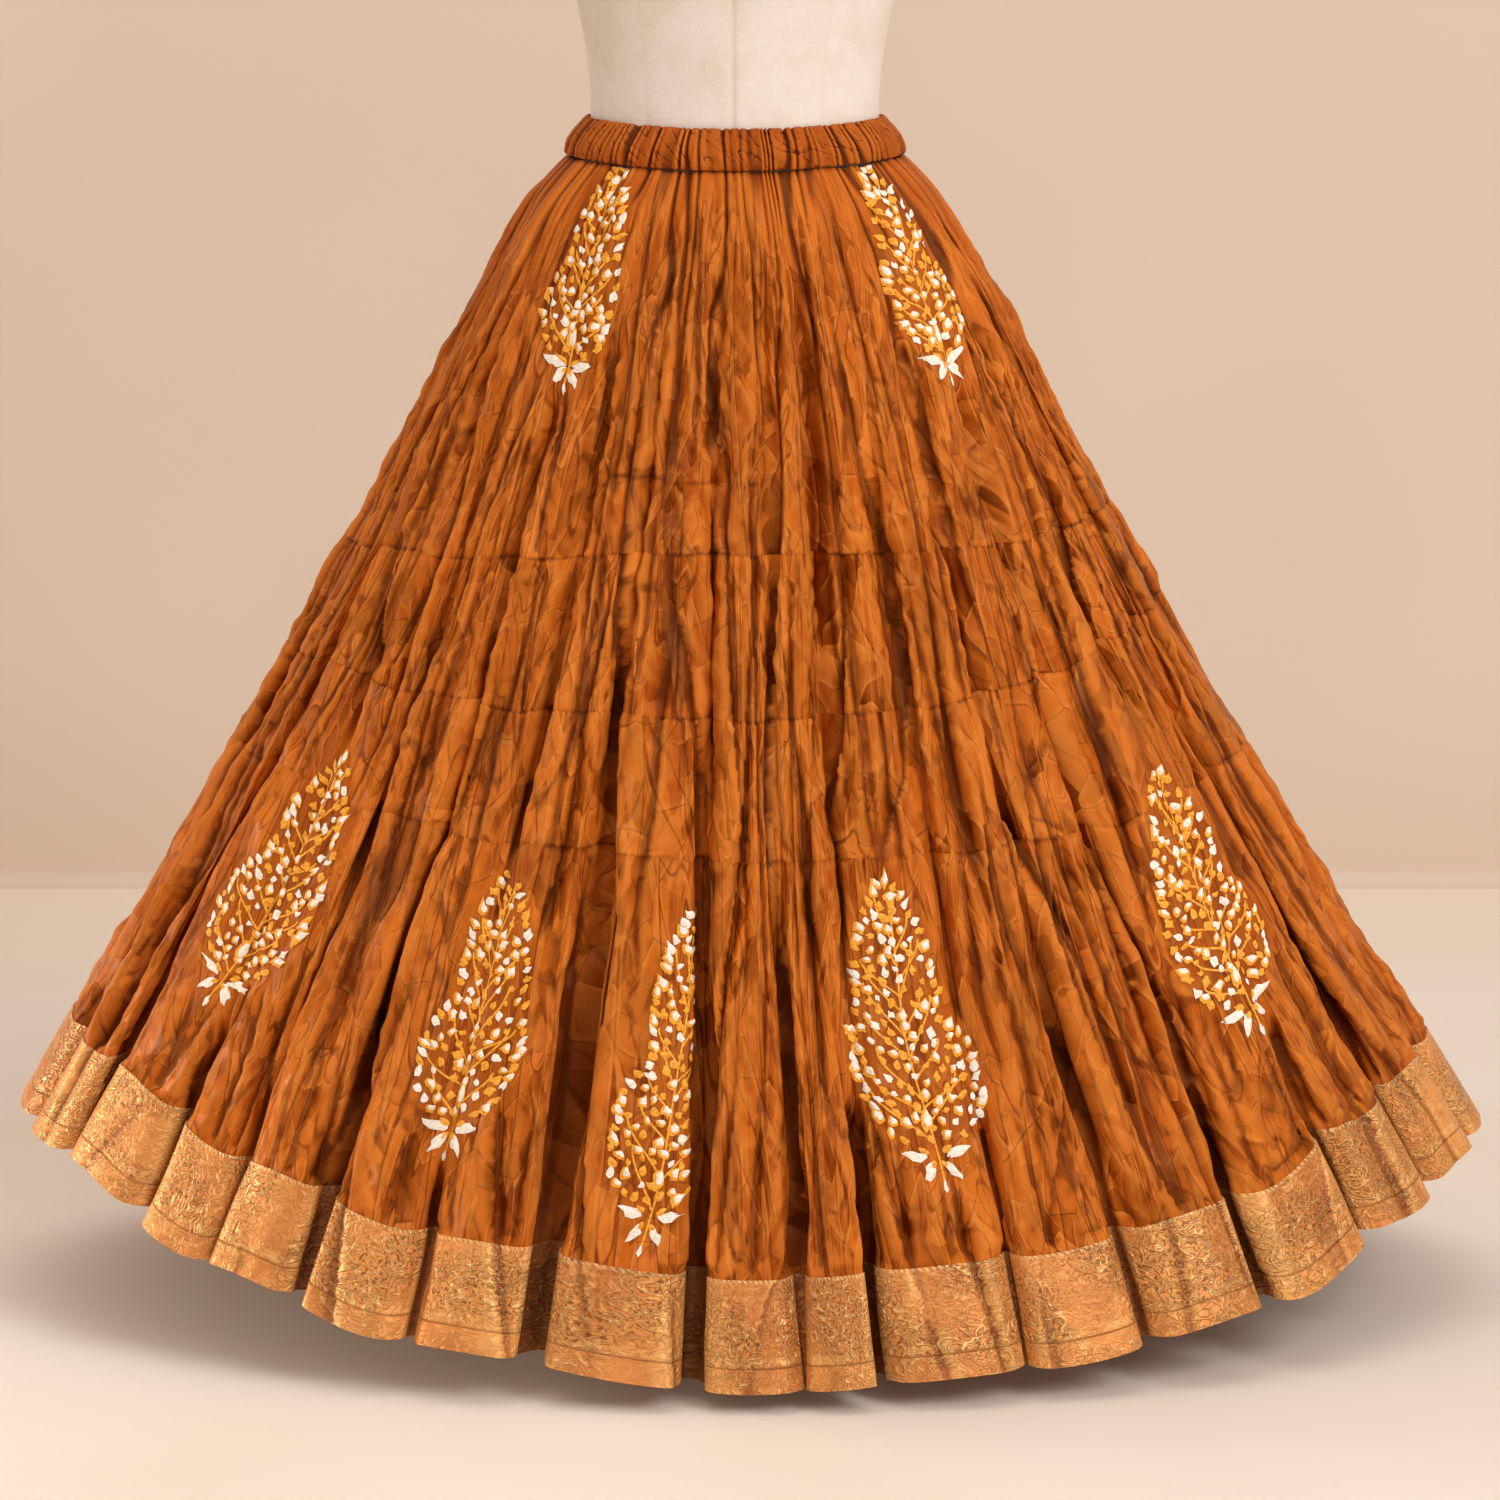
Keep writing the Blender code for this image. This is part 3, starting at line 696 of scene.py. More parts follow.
def tuck_seam(around, drop, fold):
    """The height and the darkness of the short level seam."""
    angle = angle_at(fold, drop)
    sag = TUCK_SAG * gradient_noise(around, drop * 0 + 3, 60, 71)
    groove = bell((drop - TUCK_DROP - sag) * CLOTH_LENGTH, SEAM_GROOVE_WIDTH)
    groove = groove * soft_step(TUCK_FROM - 1, TUCK_FROM + 2, angle) * soft_step(TUCK_TO + 1, TUCK_TO - 2, angle)
    return -SEAM_GROOVE_DEPTH * groove, TUCK_SHADE * groove


# The deep valleys between the hanging folds have sharp edges, and painted shade in them
RECESS_FROM, RECESS_FULL = 0.40, 0.80
RECESS_HALF_WIDTH = 0.34  # shares of a valley's depth
RECESS_EXTRA_DEPTH = 0.22
RECESS_EDGE = 0.0022
RECESS_DARK_DEPTH = 0.026
RECESS_RAGGED = 0.0015
RECESS_CALM = 0.70  # share of the small creases that is lost inside
RECESS_DARKNESS = 0.72
RAGGED_ROWS, RAGGED_CELLS, RAGGED_SEED = 14, 120, 81


def valley_recesses(around, drop, fold):
    """The height and the darkness that the recesses in the deep valleys add."""
    here, after, share = between_folds(fold)
    pitch = np.radians(after[..., 0] - here[..., 0]) * ring_radius(angle_at(fold, drop), drop)
    grown = soft_step(RECESS_FROM, RECESS_FULL, drop)
    ragged = RECESS_RAGGED * gradient_noise(around, drop * RAGGED_ROWS, RAGGED_CELLS, RAGGED_SEED)
    height = np.zeros_like(drop)
    shade = np.zeros_like(drop)
    for row, part in ((here, share), (after, 1 - share)):
        depth = row[..., 1] * MILLIMETRE
        half = RECESS_HALF_WIDTH * depth * grown + ragged
        window = grown * soft_step(half + RECESS_EDGE, half - RECESS_EDGE, part * pitch)
        height -= RECESS_EXTRA_DEPTH * depth * window
        shade += np.clip(depth / RECESS_DARK_DEPTH, 0, 1.1) * window
    return height, shade


WALL_CALM = 0.85  # share of the small creases that is lost on the steep walls of the deep valleys
STEEP_DEPTH = 0.014
WALL_REACH = 0.17
WALL_DROPS = (0.30, 0.60)  # drops between which the walls come in


def valley_walls(fold, drop):
    """1 on the walls of the deep valleys, and 0 out on the folds."""
    here, after, share = between_folds(fold)
    steep = np.zeros_like(drop)
    for row, part in ((here, share), (after, 1 - share)):
        deep = np.clip(row[..., 1] * MILLIMETRE / STEEP_DEPTH, 0, 1)
        steep = np.maximum(steep, deep * bell(part, WALL_REACH))
    return steep * soft_step(*WALL_DROPS, drop)


# The most that creases add up to, in metres and in darkness: at the waist, and how much more at the hem
DEEPEST_AT_WAIST, DEEPEST_GROWTH = 0.0065, 0.030
DARKEST_AT_WAIST, DARKEST_GROWTH = 1.05, 1.00


def shallower(height, shade, drop):
    """Where creases meet they don't add up past what the gathered cloth has room for, least near the waist."""
    deepest = DEEPEST_AT_WAIST + DEEPEST_GROWTH * drop
    darkest = DARKEST_AT_WAIST + DARKEST_GROWTH * drop
    return np.where(height < 0, deepest * np.tanh(height / deepest), height), darkest * np.tanh(shade / darkest)


# ---------------------------------------------------------------- the cloth pieces

# Rows run down a piece and columns round it. flat is its cut: its width round the skirt and its length
TIERS = [
    {"name": "tier_1", "top": "waist", "bottom": "upper", "rows": 98, "columns": 960, "flat": (2.05, 0.34)},
    {"name": "tier_2", "top": "upper", "bottom": "middle", "rows": 40, "columns": 1200, "flat": (2.45, 0.13)},
    {"name": "tier_3", "top": "middle", "bottom": "lower", "rows": 40, "columns": 1320, "flat": (2.85, 0.12)},
    {"name": "tier_4", "top": "lower", "bottom": "border", "rows": 66, "columns": 1460, "flat": (3.95, 0.34)},
    {"name": "hem_border", "top": "border", "bottom": "hem", "rows": 30, "columns": 1460, "flat": (4.25, 0.10)},
]
SEAM_TURN = 0.0045  # how far each raw edge turns in behind its seam
SEAM_CALM = 0.010  # the crush dies out this near a seam
WAIST_SEAM_DIP, WAIST_SEAM_DIP_REACH = 0.0012, 0.004
WAIST_SEAM_SHADE, WAIST_SEAM_SHADE_REACH = 0.5, 0.003
PRINT_CRUSH_CALM = 0.45  # shares of the crumple, the long creases and the pleats that are lost under a motif
PRINT_CREASE_CALM = 0.8
PRINT_PLEAT_CALM = 0.85
OPEN_SHARES = (0.34, 0.66)  # shares of its cut at which a tier lies drawn together, and open
BORDER_LAP = 0.0050  # how far the border laps over the cloth above it
BORDER_LIFT = 0.0010
BORDER_PLEATS = 0.42  # share of the pleats' height that the stiffer border keeps
BORDER_CALM = 0.016  # within this distance above it, the cloth takes up the border's own waves
BORDER_PUCKERS = 0.5  # share of a seam's puckers that the cloth has above the border
BORDER_TUCK = 0.0004  # how far the cloth lies under the border's edge
BORDER_RIPPLE = 0.0028
BORDER_FOLDS = 96
BORDER_RIPPLE_LENGTH, BORDER_SMALL_LENGTH, BORDER_SMALL_RIPPLE = 0.30, 0.12, 0.0009
HEM_THICKNESS = 0.0012
HEM_TURN_LEVELS = (-1, -3, -6)  # the rows of its outer face that the turned-up hem lies behind

DYE_SEED = 1500
DARKEST_CREASE = 1.6

surfaces = {}  # each tier's creased surface, for the print to lie on


def tier_grid(row):
    """The fold, the drop and the share round the skirt of each point of a tier's grid."""
    around = np.arange(row["columns"]) / row["columns"]
    fold = FIRST_FOLD + FOLD_COUNT * around
    top = seam_drop(row["top"], fold)
    bottom = seam_drop(row["bottom"], fold)
    if row["name"] == "hem_border":
        top = top - BORDER_LAP / CLOTH_LENGTH
    share = np.linspace(0, 1, row["rows"])[:, None]
    drop = mix(top[None, :], bottom[None, :], share)
    fold = np.broadcast_to(fold, drop.shape)
    around = np.broadcast_to(around, drop.shape)
    return fold, drop, around, top, bottom


def tier_creases(row, fold, drop, around, top, bottom, printed):
    """The height and the darkness of a tier's gathers, pleats, creases and crumple, over its grid."""
    below_top = (drop - top) * CLOTH_LENGTH
    above_bottom = (drop - bottom) * CLOTH_LENGTH
    height, shade = crush(row["name"], around, drop, fold)
    calm = 1 - bell(below_top, SEAM_CALM)
    calm *= 1 - bell(above_bottom, SEAM_CALM)
    calm *= 1 - PRINT_CRUSH_CALM * printed
    height *= calm
    shade *= calm
    more, darker = long_creases(around, drop, fold)
    height = height * soft_step(0, WAIST_FADE_DROP, drop) + more * (1 - PRINT_CREASE_CALM * printed)
    shade = shade + darker * (1 - printed)
    deep, dark = valley_recesses(around, drop, fold)
    dark = RECESS_DARKNESS * dark
    for layer in PLEATS:
        more, darker = pleats(layer, around, drop, fold)
        deep = deep + more
        dark = dark + darker * (1 - HEM_LIGHTER * soft_step(*HEM_LIGHTER_DROPS, drop))
    # The small creases are lost inside the recesses
    kept = (1 - RECESS_CALM * np.clip(1.3 * dark, 0, 1)) * (1 - WALL_CALM * valley_walls(fold, drop))
    flat = 1 - PRINT_PLEAT_CALM * printed
    height = height * kept + deep * flat
    shade = shade * kept + dark * flat
    height, shade = shallower(height, shade, drop)
    if row["top"] == "waist":
        more, darker = tuck_seam(around, drop, fold)
        height += more
        shade += darker
        more, darker = waist_gathers(around, drop, fold)
        height += more - WAIST_SEAM_DIP * np.exp(-below_top / WAIST_SEAM_DIP_REACH)
        shade += darker
        height, shade = shallower(height, shade, drop)
        shade += WAIST_SEAM_SHADE * np.exp(-below_top / WAIST_SEAM_SHADE_REACH)
    else:
        more, darker = seam_puckers(row["top"], around, below_top)
        height += more
        shade += darker
    more, darker = seam_puckers(row["bottom"], around, above_bottom)
    share = BORDER_PUCKERS if row["bottom"] == "border" else 1.0
    height += more * share
    shade += darker * share
    if row["bottom"] == "border":
        waves, _ = border_waves(around, drop, fold)
        tucked = soft_step(BORDER_CALM, 0.4 * BORDER_CALM, -above_bottom)
        height = mix(height, waves - BORDER_TUCK, tucked)
    return height, shade


def make_tier(row, material):
    """One tier: the solid's surface with its creases, and its raw edges turned in behind the seams."""
    fold, drop, around, top, bottom = tier_grid(row)
    border = row["name"] == "hem_border"
    printed = motif_bed(fold, drop) * soft_step(0.0, 0.012, -(drop - seam_drop("border", fold[:1])))
    base = cloth_points(fold, drop, 1 - MOTIF_FILL * printed)
    normals = grid_normals(base)
    if border:
        height, shade = border_waves(around, drop, fold)
        height += BORDER_LIFT
    else:
        height, shade = tier_creases(row, fold, drop, around, top, bottom, printed)
    raised = relief(height)
    points = base + normals * height[..., None]
    surfaces[row["name"]] = {"points": points, "normals": grid_normals(points), "row": row}
    # The turned edges are rows of their own, so the cloth's shading stays flat up to the seam. Each is one of
    # the grid's rows, moved that far in behind it
    above = [(0, BORDER_LIFT * 2 if border else SEAM_TURN), (0, 0.0)]
    below = [(-1, 0.0)] + ([(level, HEM_THICKNESS) for level in HEM_TURN_LEVELS] if border else [(-1, SEAM_TURN)])
    levels, inwards = zip(*above, *((level, 0.0) for level in range(row["rows"])), *below)
    levels = list(levels)
    points = points[levels] - normals[levels] * np.array(inwards)[:, None, None]
    drop = drop[levels]
    fold = np.broadcast_to(fold[:1], drop.shape)
    drawn = FULL_TURN * ring_radius(angle_at(fold, drop), drop) / row["flat"][0]
    tone, patchiness = dye(np.broadcast_to(around[:1], drop.shape), drop * CLOTH_LENGTH, row["flat"][0], DYE_SEED)
    # crease is the painted shade that the material lays into the creases, recesses and seams, and relief sets painted
    # highlights on ridges and painted shade in hollows
    values = {
        "crease": np.clip(shade[levels], 0, DARKEST_CREASE),
        "relief": raised[levels],
        "open": soft_step(*OPEN_SHARES, drawn),
        "tone": tone,
        "patchiness": patchiness,
        "ground": np.zeros_like(drop) if border else motif_ground(fold, drop),
    }
    rows, columns = drop.shape
    breaks = [1, 1 + row["rows"]]
    crossed = crossed_cells(values["crease"] - values["relief"], rows, columns, breaks)
    return make_mesh(
        "brocade_border" if border else "cloth_" + row["name"],
        points, tube_triangles(rows, columns, breaks, crossed), [material],
        tube_uv(rows, columns, breaks, crossed), values,
    )


def border_waves(around, drop, fold):
    """The brocade's folds: it is stiffer than the crushed cloth, and keeps the deep recesses and some pleats."""
    down = drop * CLOTH_LENGTH
    soft = gradient_noise(around, down / BORDER_RIPPLE_LENGTH, BORDER_FOLDS, 41)
    small = gradient_noise(around + 0.1 * down / 4, down / BORDER_SMALL_LENGTH, BORDER_FOLDS * 2, 42)
    height = BORDER_RIPPLE * (np.sqrt(soft ** 2 + 0.02) - 0.3) + BORDER_SMALL_RIPPLE * small
    more, darker = pleats(PLEATS[0], around, drop, fold)
    deeper, darkest = valley_recesses(around, drop, fold)
    height = height + BORDER_PLEATS * more + deeper
    return height, 0.2 * bell(soft, 0.1) + BORDER_PLEATS * darker + darkest


# ---------------------------------------------------------------- the waistband

BAND_ROWS = 34
BAND_COLUMNS = 988
BAND_SWELL = 0.0022  # the elastic casing stands out in the middle
BAND_GATHER_DEPTH = 0.0042
BAND_GATHER_WIDTH = 0.0015
BAND_GATHER_BULGE = 0.0014
BAND_SHADE_WIDTH = 0.0014
BAND_GATHER_TURN = 0.28  # how much the gathers stray from the seam up to the top edge, in cells of their noise
BAND_TOP_TURN = 0.0030
BAND_TOP_ROUNDING = 0.0008
BAND_TOP_SCALLOP = 0.0021  # how far the gathers dip its top edge
BAND_BOTTOM_DROP = 0.0004
BAND_INSIDE_ROWS = 4
BAND_INSIDE_DEPTH = 0.022
BAND_CREASE_HEIGHT, BAND_FINE_HEIGHT = 0.0012, 0.0004
BAND_CROSSING_DEPTH = 0.0011  # creases that run aslant from one gather to the next
BAND_LINE_SHADE, BAND_SLANT_SHADE, BAND_CROSSING_SHADE = 1.85, 0.70, 0.65
BAND_SEAM_SHADE, BAND_SEAM_SHADE_REACH = 0.7, 0.035
BAND_CREASE_LINE = 0.035  # half width of its creases' dark lines, in the noise's own unit
BAND_OPEN = 0.3  # how openly its cloth lies, for its creases' finish
BAND_PINCH_DEPTH, BAND_PINCH_REACH = 0.0016, 0.07  # the seam under the band draws it in, over that share of it
BAND_FLAT = (0.92, 0.06)  # its outer face and the strip of its inner face that is built


def band_creases(rise, around, pitch):
    """The band's gathers and creases: their height, their darkness, and the gathers alone as shares."""
    _, depths = gather_table()
    height = np.zeros_like(rise)
    lines = np.zeros_like(rise)
    for gather, share in nearest_gathers(around, 2 - rise * BAND_GATHER_TURN):
        height -= BAND_GATHER_DEPTH * depths[gather] * np.exp(-share * pitch / BAND_GATHER_WIDTH)
        height += 0.5 * BAND_GATHER_BULGE * np.sin(math.pi * share)
        lines += depths[gather] * bell(share * pitch, BAND_SHADE_WIDTH)
    slant = gradient_noise(around + 0.010 * rise, rise * 1.3, GATHER_COUNT, GATHER_SEED + 3)
    small = gradient_noise(around - 0.008 * rise, rise * 2.2, GATHER_COUNT * 2, GATHER_SEED + 4)
    crossing = gradient_noise(around + 0.05 * rise, rise * 1.1 + 5, GATHER_COUNT // 2, GATHER_SEED + 5)
    gathers = height / BAND_GATHER_DEPTH
    height += BAND_CREASE_HEIGHT * (np.abs(slant) - 0.3) - BAND_FINE_HEIGHT * np.abs(small)
    height -= BAND_CROSSING_DEPTH * bell(crossing, 0.05) * np.sin(math.pi * np.clip(rise, 0, 1))
    lines = lines + BAND_CROSSING_SHADE * bell(crossing, BAND_CREASE_LINE) * (small > -0.05)
    pinch = np.exp(-rise / BAND_PINCH_REACH)
    casing = BAND_SWELL * np.sin(math.pi * np.clip(rise, 0, 1)) ** 0.7
    height = height * (1 - 0.45 * pinch) - BAND_PINCH_DEPTH * pinch + casing
    shade = BAND_LINE_SHADE * lines + BAND_SLANT_SHADE * bell(slant, BAND_CREASE_LINE)
    shade += BAND_SEAM_SHADE * np.exp(-rise / BAND_SEAM_SHADE_REACH)
    return height, shade, gathers


def make_waistband(material):
    """The gathered casing: its outer face, a rolled top edge and a strip of its inner face."""
    around = np.arange(BAND_COLUMNS)[None, :] / BAND_COLUMNS
    rise = np.linspace(0, 1, BAND_ROWS)[::-1, None]
    rise, around = np.broadcast_arrays(rise, around)
    fold = FIRST_FOLD + FOLD_COUNT * around
    angle = angle_at(fold, np.zeros_like(fold))
    knots = np.array(BAND_RINGS["rise"], float)
    half_width = smooth_curve(knots, np.array(BAND_RINGS["half_width"]), rise)
    half_depth = smooth_curve(knots, np.array(BAND_RINGS["half_depth"]), rise)
    height, shade, gathers = band_creases(rise, around, FULL_TURN * np.sqrt(half_width * half_depth) / GATHER_COUNT)
    x, y = ellipse_points(angle, half_width, half_depth, height)
    top = mix(BAND_TOP_FRONT_HEIGHT, BAND_TOP_SIDE_HEIGHT, np.sin(np.radians(angle)) ** 2)
    z = mix(waist_seam_height(angle), top, rise) + BAND_TOP_SCALLOP * gathers * soft_step(0.7, 1.0, rise)
    outer = np.stack([x, y, z - BAND_BOTTOM_DROP], -1)
    inwards = unit(np.stack([-x[:1] / half_width[:1] ** 2, -y[:1] / half_depth[:1] ** 2, 0 * x[:1]], -1))
    roll = outer[:1] + inwards * BAND_TOP_TURN * 0.45 + np.array([0, 0, BAND_TOP_ROUNDING])
    inside = []
    for step in range(BAND_INSIDE_ROWS):
        strip = outer[:1] + inwards * BAND_TOP_TURN
        strip[..., 2] -= BAND_TOP_ROUNDING + BAND_INSIDE_DEPTH * step / (BAND_INSIDE_ROWS - 1)
        inside.append(strip)
    points = np.concatenate([*inside[::-1], roll, outer])
    extra = BAND_INSIDE_ROWS + 1
    levels = [0] * extra + list(range(BAND_ROWS))
    down = np.concatenate([np.zeros_like(rise[:1])] * extra + [1 - rise]) * BAND_FLAT[1]
    tone, patchiness = dye(around[levels], down, BAND_FLAT[0], DYE_SEED + 50)
    # crease is the painted shade of the band's gathers and seam, and relief sets its painted highlights and shade
    values = {
        "crease": np.clip(shade[levels], 0, DARKEST_CREASE), "relief": relief(height)[levels],
        "ground": np.zeros_like(down), "open": np.full_like(down, BAND_OPEN), "tone": tone, "patchiness": patchiness,
    }
    rows = len(points)
    return make_mesh(
        "waistband_casing", points, tube_triangles(rows, BAND_COLUMNS), [material],
        tube_uv(rows, BAND_COLUMNS), values,
    )


# ---------------------------------------------------------------- the printed motifs

# A sprig of leaves in the shape of a bud, as block prints have it. Each row: the angle in degrees and the
# drop of its foot, those of its tip, half its width in millimetres, and the side with the shoulder
Motif = namedtuple("Motif", "foot_angle foot_drop tip_angle tip_drop half_width shoulder")
MOTIFS = [Motif(*row) for row in [
    (-36, 0.198, -42, -0.008, 34, -1),
    (46.5, 0.194, 50.5, -0.006, 34, 1),
    (-57.5, 0.812, -53.5, 0.556, 43, -1),
    (-27, 0.846, -26.6, 0.598, 42, -1),
    (-8.8, 0.894, -5.3, 0.606, 43, -1),
    (17, 0.847, 15.6, 0.587, 50, 1),
    (54, 0.800, 56.5, 0.562, 47, 1),
    (103, 0.862, 104, 0.605, 45, 1),
    (126, 0.815, 127, 0.560, 43, 1),
    (149, 0.880, 148, 0.606, 48, 1),
    (175, 0.842, 176, 0.590, 44, 1),
    (198, 0.893, 196, 0.612, 45, -1),
    (226, 0.830, 228, 0.572, 44, 1),
    (254, 0.858, 254, 0.600, 43, -1),
    (132, 0.196, 136, 0.008, 34, 1),
    (221, 0.194, 216, 0.008, 33, -1),
]]
CUT_MOTIF, CUT_ANGLE = 4, -4.6  # that motif's side past that angle lies hidden in a fold
BODY_START = 0.13  # share of a motif's length below its body
MOTIF_BEND = 0.8  # degrees
GROUND_MARGIN = 0.0035
BED_MARGIN = 0.026  # the cloth lies nearly flat this far round a motif
BED_LEAST_WIDTH = 0.35
MOTIF_FILL = 0.92
MOTIF_SEED = 60

# The bud's outline: half its width, as a share, on the shoulder's side and on the other, up from its foot
BUD_SHARES = [0.0, 0.12, 0.15, 0.20, 0.30, 0.40, 0.48, 0.53, 0.60, 0.70, 0.80, 0.90, 0.97, 1.0]
BUD_SHOULDER_SIDE = [0.0, 0.0, 0.55, 0.92, 1.12, 1.10, 0.92, 0.60, 0.66, 0.66, 0.54, 0.34, 0.12, 0.0]
BUD_PLAIN_SIDE = [0.0, 0.0, 0.42, 0.74, 0.94, 0.98, 0.95, 0.90, 0.82, 0.72, 0.62, 0.44, 0.18, 0.0]


def bud_width(share, side, shoulder):
    """Half the width of the bud at a share of its length from its foot, on that side (-1 or 1)."""
    on_shoulder = np.interp(share, BUD_SHARES, BUD_SHOULDER_SIDE)
    plain = np.interp(share, BUD_SHARES, BUD_PLAIN_SIDE)
    return np.where(np.asarray(side) * shoulder > 0, on_shoulder, plain)


def motif_length(motif):
    """Metres from its foot to its tip."""
    return (motif.foot_drop - motif.tip_drop) * CLOTH_LENGTH


def motif_centre(motif, share):
    """The angle and the drop of a motif's stem at a share of its length from its foot: it bends a little."""
    bend = -MOTIF_BEND * motif.shoulder * np.sin(math.pi * share)
    return mix(motif.foot_angle, motif.tip_angle, share) + bend, mix(motif.foot_drop, motif.tip_drop, share)


def round_motifs(fold, drop):
    """For each motif: its row, each point's share of its length, metres across from its stem, the bud's width
    there as a share, and the point's angle."""
    angle = angle_at(fold, drop)
    radius = ring_radius(angle, drop)
    for motif in MOTIFS:
        share = (motif.foot_drop - drop) / (motif.foot_drop - motif.tip_drop)
        within = np.clip(share, 0, 1)
        centre, _ = motif_centre(motif, within)
        across = np.radians((angle - centre + 180) % 360 - 180) * radius
        width = bud_width(within, np.sign(across), motif.shoulder)
        yield motif, share, across, width, angle


def motif_ground(fold, drop):
    """1 inside a motif's outline and 0 past the margin outside it."""
    ground = np.zeros_like(drop)
    for motif, share, across, width, angle in round_motifs(fold, drop):
        inside = soft_step(GROUND_MARGIN, -0.001, np.abs(across) - width * motif.half_width * MILLIMETRE)
        inside *= soft_step(0.08, 0.15, share) * soft_step(1.0, 0.97, share)
        if motif is MOTIFS[CUT_MOTIF]:
            inside *= angle < CUT_ANGLE
        ground = np.maximum(ground, inside)
    return ground


def motif_bed(fold, drop):
    """1 where the cloth lies nearly flat under and round a motif, and 0 away from it, with soft edges."""
    bed = np.zeros_like(drop)
    for motif, share, across, width, angle in round_motifs(fold, drop):
        edge = np.maximum(width, BED_LEAST_WIDTH) * motif.half_width * MILLIMETRE
        inside = soft_step(BED_MARGIN, 0.0, np.abs(across) - edge)
        inside *= soft_step(-0.16, 0.04, share) * soft_step(1.25, 0.95, share)
        if motif is MOTIFS[CUT_MOTIF]:
            inside *= soft_step(CUT_ANGLE + 0.3, CUT_ANGLE - 1.2, angle)
        bed = np.maximum(bed, inside)
    return bed


def on_cloth(angle, drop, lift):
    """Points on the creased cloth at angles and drops, lifted off it by that much."""
    fold = fold_at(angle, drop)
    points = np.zeros((*np.shape(drop), 3))
    for surface in surfaces.values():
        row = surface["row"]
        top = seam_drop(row["top"], fold)
        bottom = seam_drop(row["bottom"], fold)
        held = (drop >= top) & (drop < bottom)
        if not held.any():
            continue
        down = (drop[held] - top[held]) / (bottom[held] - top[held]) * (row["rows"] - 1)
        across = (fold[held] - FIRST_FOLD) % FOLD_COUNT / FOLD_COUNT * row["columns"]
        i = np.clip(down.astype(int), 0, row["rows"] - 2)
        j = across.astype(int) % row["columns"]
        k = (j + 1) % row["columns"]
        down = (down - i)[:, None]
        across = (across - np.floor(across))[:, None]
        found = []
        for grid in (surface["points"], surface["normals"]):
            a, b, c, d = grid[i, j], grid[i + 1, j], grid[i + 1, k], grid[i, k]
            low = a + down * (b - a) + across * (c - b)
            high = a + across * (d - a) + down * (c - d)
            found.append(np.where(down >= across, low, high))
        points[held] = found[0] + unit(found[1]) * np.asarray(lift)[held][:, None]
    return points


def leaf_template():
    """A leaf one unit long each way from its middle, pointed at +X: points, height shares and triangles."""
    rim = [
        (1.0, 0.04), (0.55, 0.42), (0.12, 0.80), (-0.34, 0.90), (-0.78, 0.58), (-0.95, 0.06),
        (-0.82, -0.46), (-0.36, -0.86), (0.14, -0.92), (0.60, -0.50),
    ]
    points = [(0.0, 0.0)] + [(0.60 * x, 0.60 * y) for x, y in rim] + rim
    count = len(rim)
    rise = [1.0] + [0.85] * count + [0.0] * count
    triangles = []
    for number in range(count):
        after = (number + 1) % count
        inner, inner_after = 1 + number, 1 + after
        outer, outer_after = inner + count, inner_after + count
        triangles += [(0, inner, inner_after), (inner, outer, outer_after), (inner, outer_after, inner_after)]
    return np.array(points), np.array(rise), np.array(triangles)


LEAF_POINTS, LEAF_RISE, LEAF_TRIANGLES = leaf_template()
PAINT_RIM = 0.00050
PAINT_CROWN = 0.0006
WHITE, MUSTARD = 0, 1
# What each kind of leaf is painted with: growth, growth in width past that, paint, and level from the cloth
LEAF_KINDS = {
    "white": [(1.0, 1.0, WHITE, 0)], "mustard": [(1.0, 1.0, MUSTARD, 0)],
    "outlined": [(1.26, 1.05, MUSTARD, 0), (0.84, 1.0, WHITE, 1)],
}
LEAF_SHARES = {"outlined": 0.42, "white": 0.22, "mustard": 0.36}
LEAF_SPACING = 0.0078  # metres between two leaves, at least
CLOSE_SPACING = 0.002  # for the small ones at the foot
SEED_LEAVES = 1500
# The leaves at each side of the foot: shares of the motif's length and half width, half length and half width in
# metres, turn, kind and spacing
FOOT_LEAVES = [
    (0.108, 0.36, 0.0108, 0.0044, 1.30, "white", LEAF_SPACING),
    (0.120, 0.20, 0.0050, 0.0030, 0.9, "mustard", CLOSE_SPACING),
    (0.050, 0.20, 0.0094, 0.0042, math.pi - 0.55, "white", CLOSE_SPACING),
    (0.072, 0.11, 0.0042, 0.0026, 2.4, "mustard", CLOSE_SPACING),
]
RIM_LEAF_SIZES = (0.0040, 0.0060), (0.0028, 0.0040)
RIM_SPACINGS = (0.0060, 0.0085)
LEAF_HALF_LENGTH, LEAF_HALF_WIDTH = 0.0042, 0.0031


